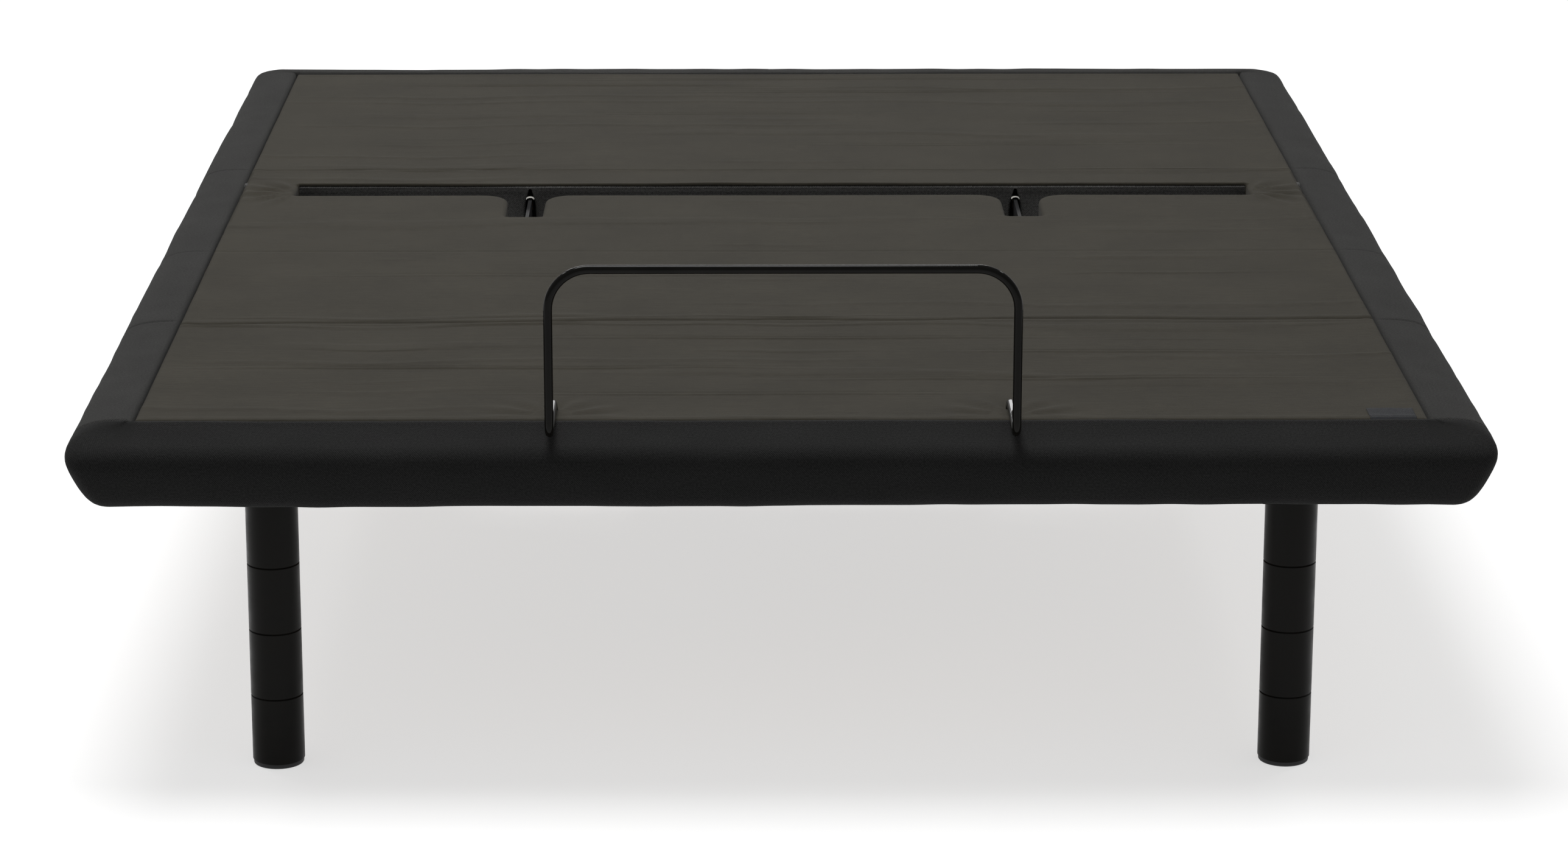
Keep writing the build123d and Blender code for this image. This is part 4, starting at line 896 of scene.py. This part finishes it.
def make_face():
    """Face of the head section: a panel with rolled edges and a welt along its top."""
    outline = face_outline()
    onto = -outward_normals(outline)
    xs = np.arange(-0.65, 0.65, 0.006)
    welt = TOP - 0.020
    zs = np.concatenate([np.arange(FACE_LOW.z, welt, 0.005), np.arange(welt, TOP, 0.0014)])
    lattice = np.array([(x, z) for z in zs for x in xs])
    flat, faces = fill_region(outline + onto * FACE_ROLL, [], lattice)
    points = np.column_stack([flat, np.zeros(len(flat))])
    roll = np.full(len(outline), FACE_ROLL)
    depths = np.full(len(outline), FACE_HIGH.y - FACE_LOW.y - 0.001)
    flat, faces = rolled_edge(points, faces, outline, onto, roll, depths)
    x, z, back = flat[:, 0], flat[:, 1], flat[:, 2]
    puff = 0.0012 * lattice_noise(x, z, 0.14, 0.03, 31)
    puff += 0.0032 * bump(z - (TOP - 0.0065), 0.0035) - 0.0012 * bump(z - (TOP - 0.0125), 0.003)
    y = FACE_LOW.y + 0.0012 + back - puff * np.exp(-back / 0.004)
    # The face wears the lighter copy of the twill: painted light
    obj = new_object("head_face", np.column_stack([x, y, z]), faces, [LIT_FACE_TWILL])
    set_uv(obj, np.column_stack([x, z - back]))
    return weld(obj)


def make_arm_clips():
    """A bent nylon strip over each hinge arm where it goes through its slit."""
    bend = [math.pi * k / 8 for k in range(9)]
    section = [(-CLIP_HALF * math.cos(a), 0.0032 * math.sin(a) - 0.0040) for a in bend]
    made = []
    for name, centre in (("arm_clip_left", -ARM_X), ("arm_clip_right", ARM_X)):
        points, faces = [], []
        for y in (SLOT_REAR - 0.003, SLOT_REAR + 0.005):
            points += [(centre + dx, y, ARMS_HIGH.z + 0.0050 + dz) for dx, dz in section]
        wide = len(section)
        for k in range(wide - 1):
            faces.append((k, k + 1, k + 1 + wide, k + wide))
        obj = new_object(name, points, faces, [FINISHES["nylon"]])
        strip = obj.modifiers.new("strip", "SOLIDIFY")
        strip.thickness = 0.0011
        made.append(obj)
    return made


def make_slit_shade_sheets():
    """Painted shade: dark sheets behind each slit, on both sides of the hinge arm, standing in for the
    shade inside the slit.
    """
    points, faces = [], []
    y, low, high = FACE_HIGH.y - 0.0025, FACE_LOW.z + 0.001, TOP - 0.006
    for centre in (-ARM_X, ARM_X):
        for side in (-1, 1):
            start = len(points)
            inner, outer = ARM_HALF + 0.0006, SLIT_HALF + 0.004
            points += [(centre + side * dx, y, z) for z in (low, high) for dx in (inner, outer)]
            faces.append((start, start + 1, start + 3, start + 2))
    # The sheets take the darkened front twill, so the slits show as shaded openings
    obj = new_object("slit_painted_shade_sheets", points, faces, [SHADED_FRONT_TWILL])
    set_uv(obj, np.array(points)[:, [0, 2]])
    shade_sheet = obj.modifiers.new("shade_sheet", "SOLIDIFY")
    shade_sheet.thickness = 0.001
    return obj


def make_tag():
    """Blank woven tag sewn into the front seam."""
    xs = np.linspace(TAG_LOW.x, TAG_HIGH.x, 34)
    ys = np.linspace(SEAM_FRONT - 0.001, SEAM_FRONT + (TAG_HIGH.y - TAG_LOW.y), 28)
    x, y = (a.ravel() for a in np.meshgrid(xs, ys))
    lift = 0.0012 + 0.0006 * smooth((y - ys[0]) / 0.05) * (0.6 + 0.4 * waves(x, 41, 3, 0.05))
    lift -= 0.0003 * bump(x - xs[0], 0.003) + 0.0003 * bump(x - xs[-1], 0.003)
    points = np.column_stack([x, y, TOP + np.maximum(deck_relief(x, y), -0.0012) + lift])
    wide = len(xs)
    faces = [
        (j * wide + i, j * wide + i + 1, (j + 1) * wide + i + 1, (j + 1) * wide + i)
        for j in range(len(ys) - 1)
        for i in range(wide - 1)
    ]
    obj = new_object("corner_tag", points, faces, [tag_weave()])
    set_uv(obj, np.column_stack([x, y]))
    cloth = obj.modifiers.new("cloth", "SOLIDIFY")
    cloth.thickness = 0.0006
    return obj


# ---------------------------------------------------------------- the cover goes round the frame

DECK_STANDS_FOR = {"head": ["pad_head"], "middle": ["pad_seat", "pad_thigh"], "foot": ["pad_calf"]}
BORDER_STANDS_FOR = {
    "head": ["skirt_head_sides", "skirt_head_end"],
    "middle": ["skirt_seat_sides", "skirt_thigh_sides"],
    "foot": ["skirt_calf_sides", "skirt_foot_end"],
}


def fit_cover(pieces, stands_for):
    for part, obj in pieces.items():
        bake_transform(obj)
        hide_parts(*stands_for[part])


fit_cover(make_deck(), DECK_STANDS_FOR)
fit_cover(make_border(), BORDER_STANDS_FOR)

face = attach(make_face(), "head_section")
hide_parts("skirt_head_face")

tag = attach(make_tag(), "calf_section")
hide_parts("deck_tag")

for clip in make_arm_clips():
    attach(clip, "head_section")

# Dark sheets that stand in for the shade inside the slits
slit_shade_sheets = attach(make_slit_shade_sheets(), "head_section")


# ---------------------------------------------------------------- floor, light and camera


FLOOR_SIZE = 40.0
WORLD_STRENGTH = 0.40


def make_stage():
    bpy.ops.mesh.primitive_plane_add(size=FLOOR_SIZE, location=(0.0, 0.0, 0.0))
    floor = bpy.context.object
    floor.name = "studio_floor"
    floor.data.materials.append(pale_floor())
    world = bpy.data.worlds.new("studio")
    world.use_nodes = True
    sky = world.node_tree.nodes["Background"]
    sky.inputs["Color"].default_value = (1.0, 1.0, 1.0, 1.0)
    sky.inputs["Strength"].default_value = WORLD_STRENGTH
    bpy.context.scene.world = world


def softbox(name, place, target, size, power):
    data = bpy.data.lights.new(name, "AREA")
    data.shape = "RECTANGLE"
    data.size, data.size_y = size
    data.energy = power
    light = bpy.data.objects.new(name, data)
    light.location = place
    light.rotation_euler = (Vector(target) - Vector(place)).to_track_quat("-Z", "Y").to_euler()
    bpy.context.collection.objects.link(light)


CAMERA_PLACE = (-0.0525, -5.6124, 1.7028)
CAMERA_DOWN = 15.832  # degrees below the horizon
CAMERA_RIGHT = 0.666  # degrees to the right of straight ahead
CAMERA_ROLL = 0.083
CAMERA_LENS = 103.54


def make_camera():
    data = bpy.data.cameras.new("camera")
    data.sensor_width = 36.0
    data.lens = CAMERA_LENS
    data.clip_end = 100.0
    camera = bpy.data.objects.new("camera", data)
    down, right, roll = (math.radians(a) for a in (CAMERA_DOWN, CAMERA_RIGHT, CAMERA_ROLL))
    ahead = Matrix.Rotation(math.pi / 2 - down, 4, "X")
    turned = Matrix.Rotation(-right, 4, "Z") @ ahead @ Matrix.Rotation(roll, 4, "Z")
    camera.matrix_world = Matrix.Translation(CAMERA_PLACE) @ turned
    bpy.context.collection.objects.link(camera)
    bpy.context.scene.camera = camera


make_stage()
softbox("overhead", (-0.75, 0.2, 5.0), (0.0, 0.0, 0.4), (2.6, 2.6), 255.0)
softbox("behind", (-0.4, 5.0, 2.0), (0.0, 0.0, 0.4), (3.2, 0.8), 36.0)
softbox("glint_left", (-2.5, 1.0, 3.0), (0.0, -0.9, 0.5), (0.4, 0.4), 12.0)
softbox("glint_right", (2.5, 1.0, 3.0), (0.0, -0.9, 0.5), (0.4, 0.4), 12.0)
make_camera()
bpy.context.scene.view_settings.view_transform = "Standard"
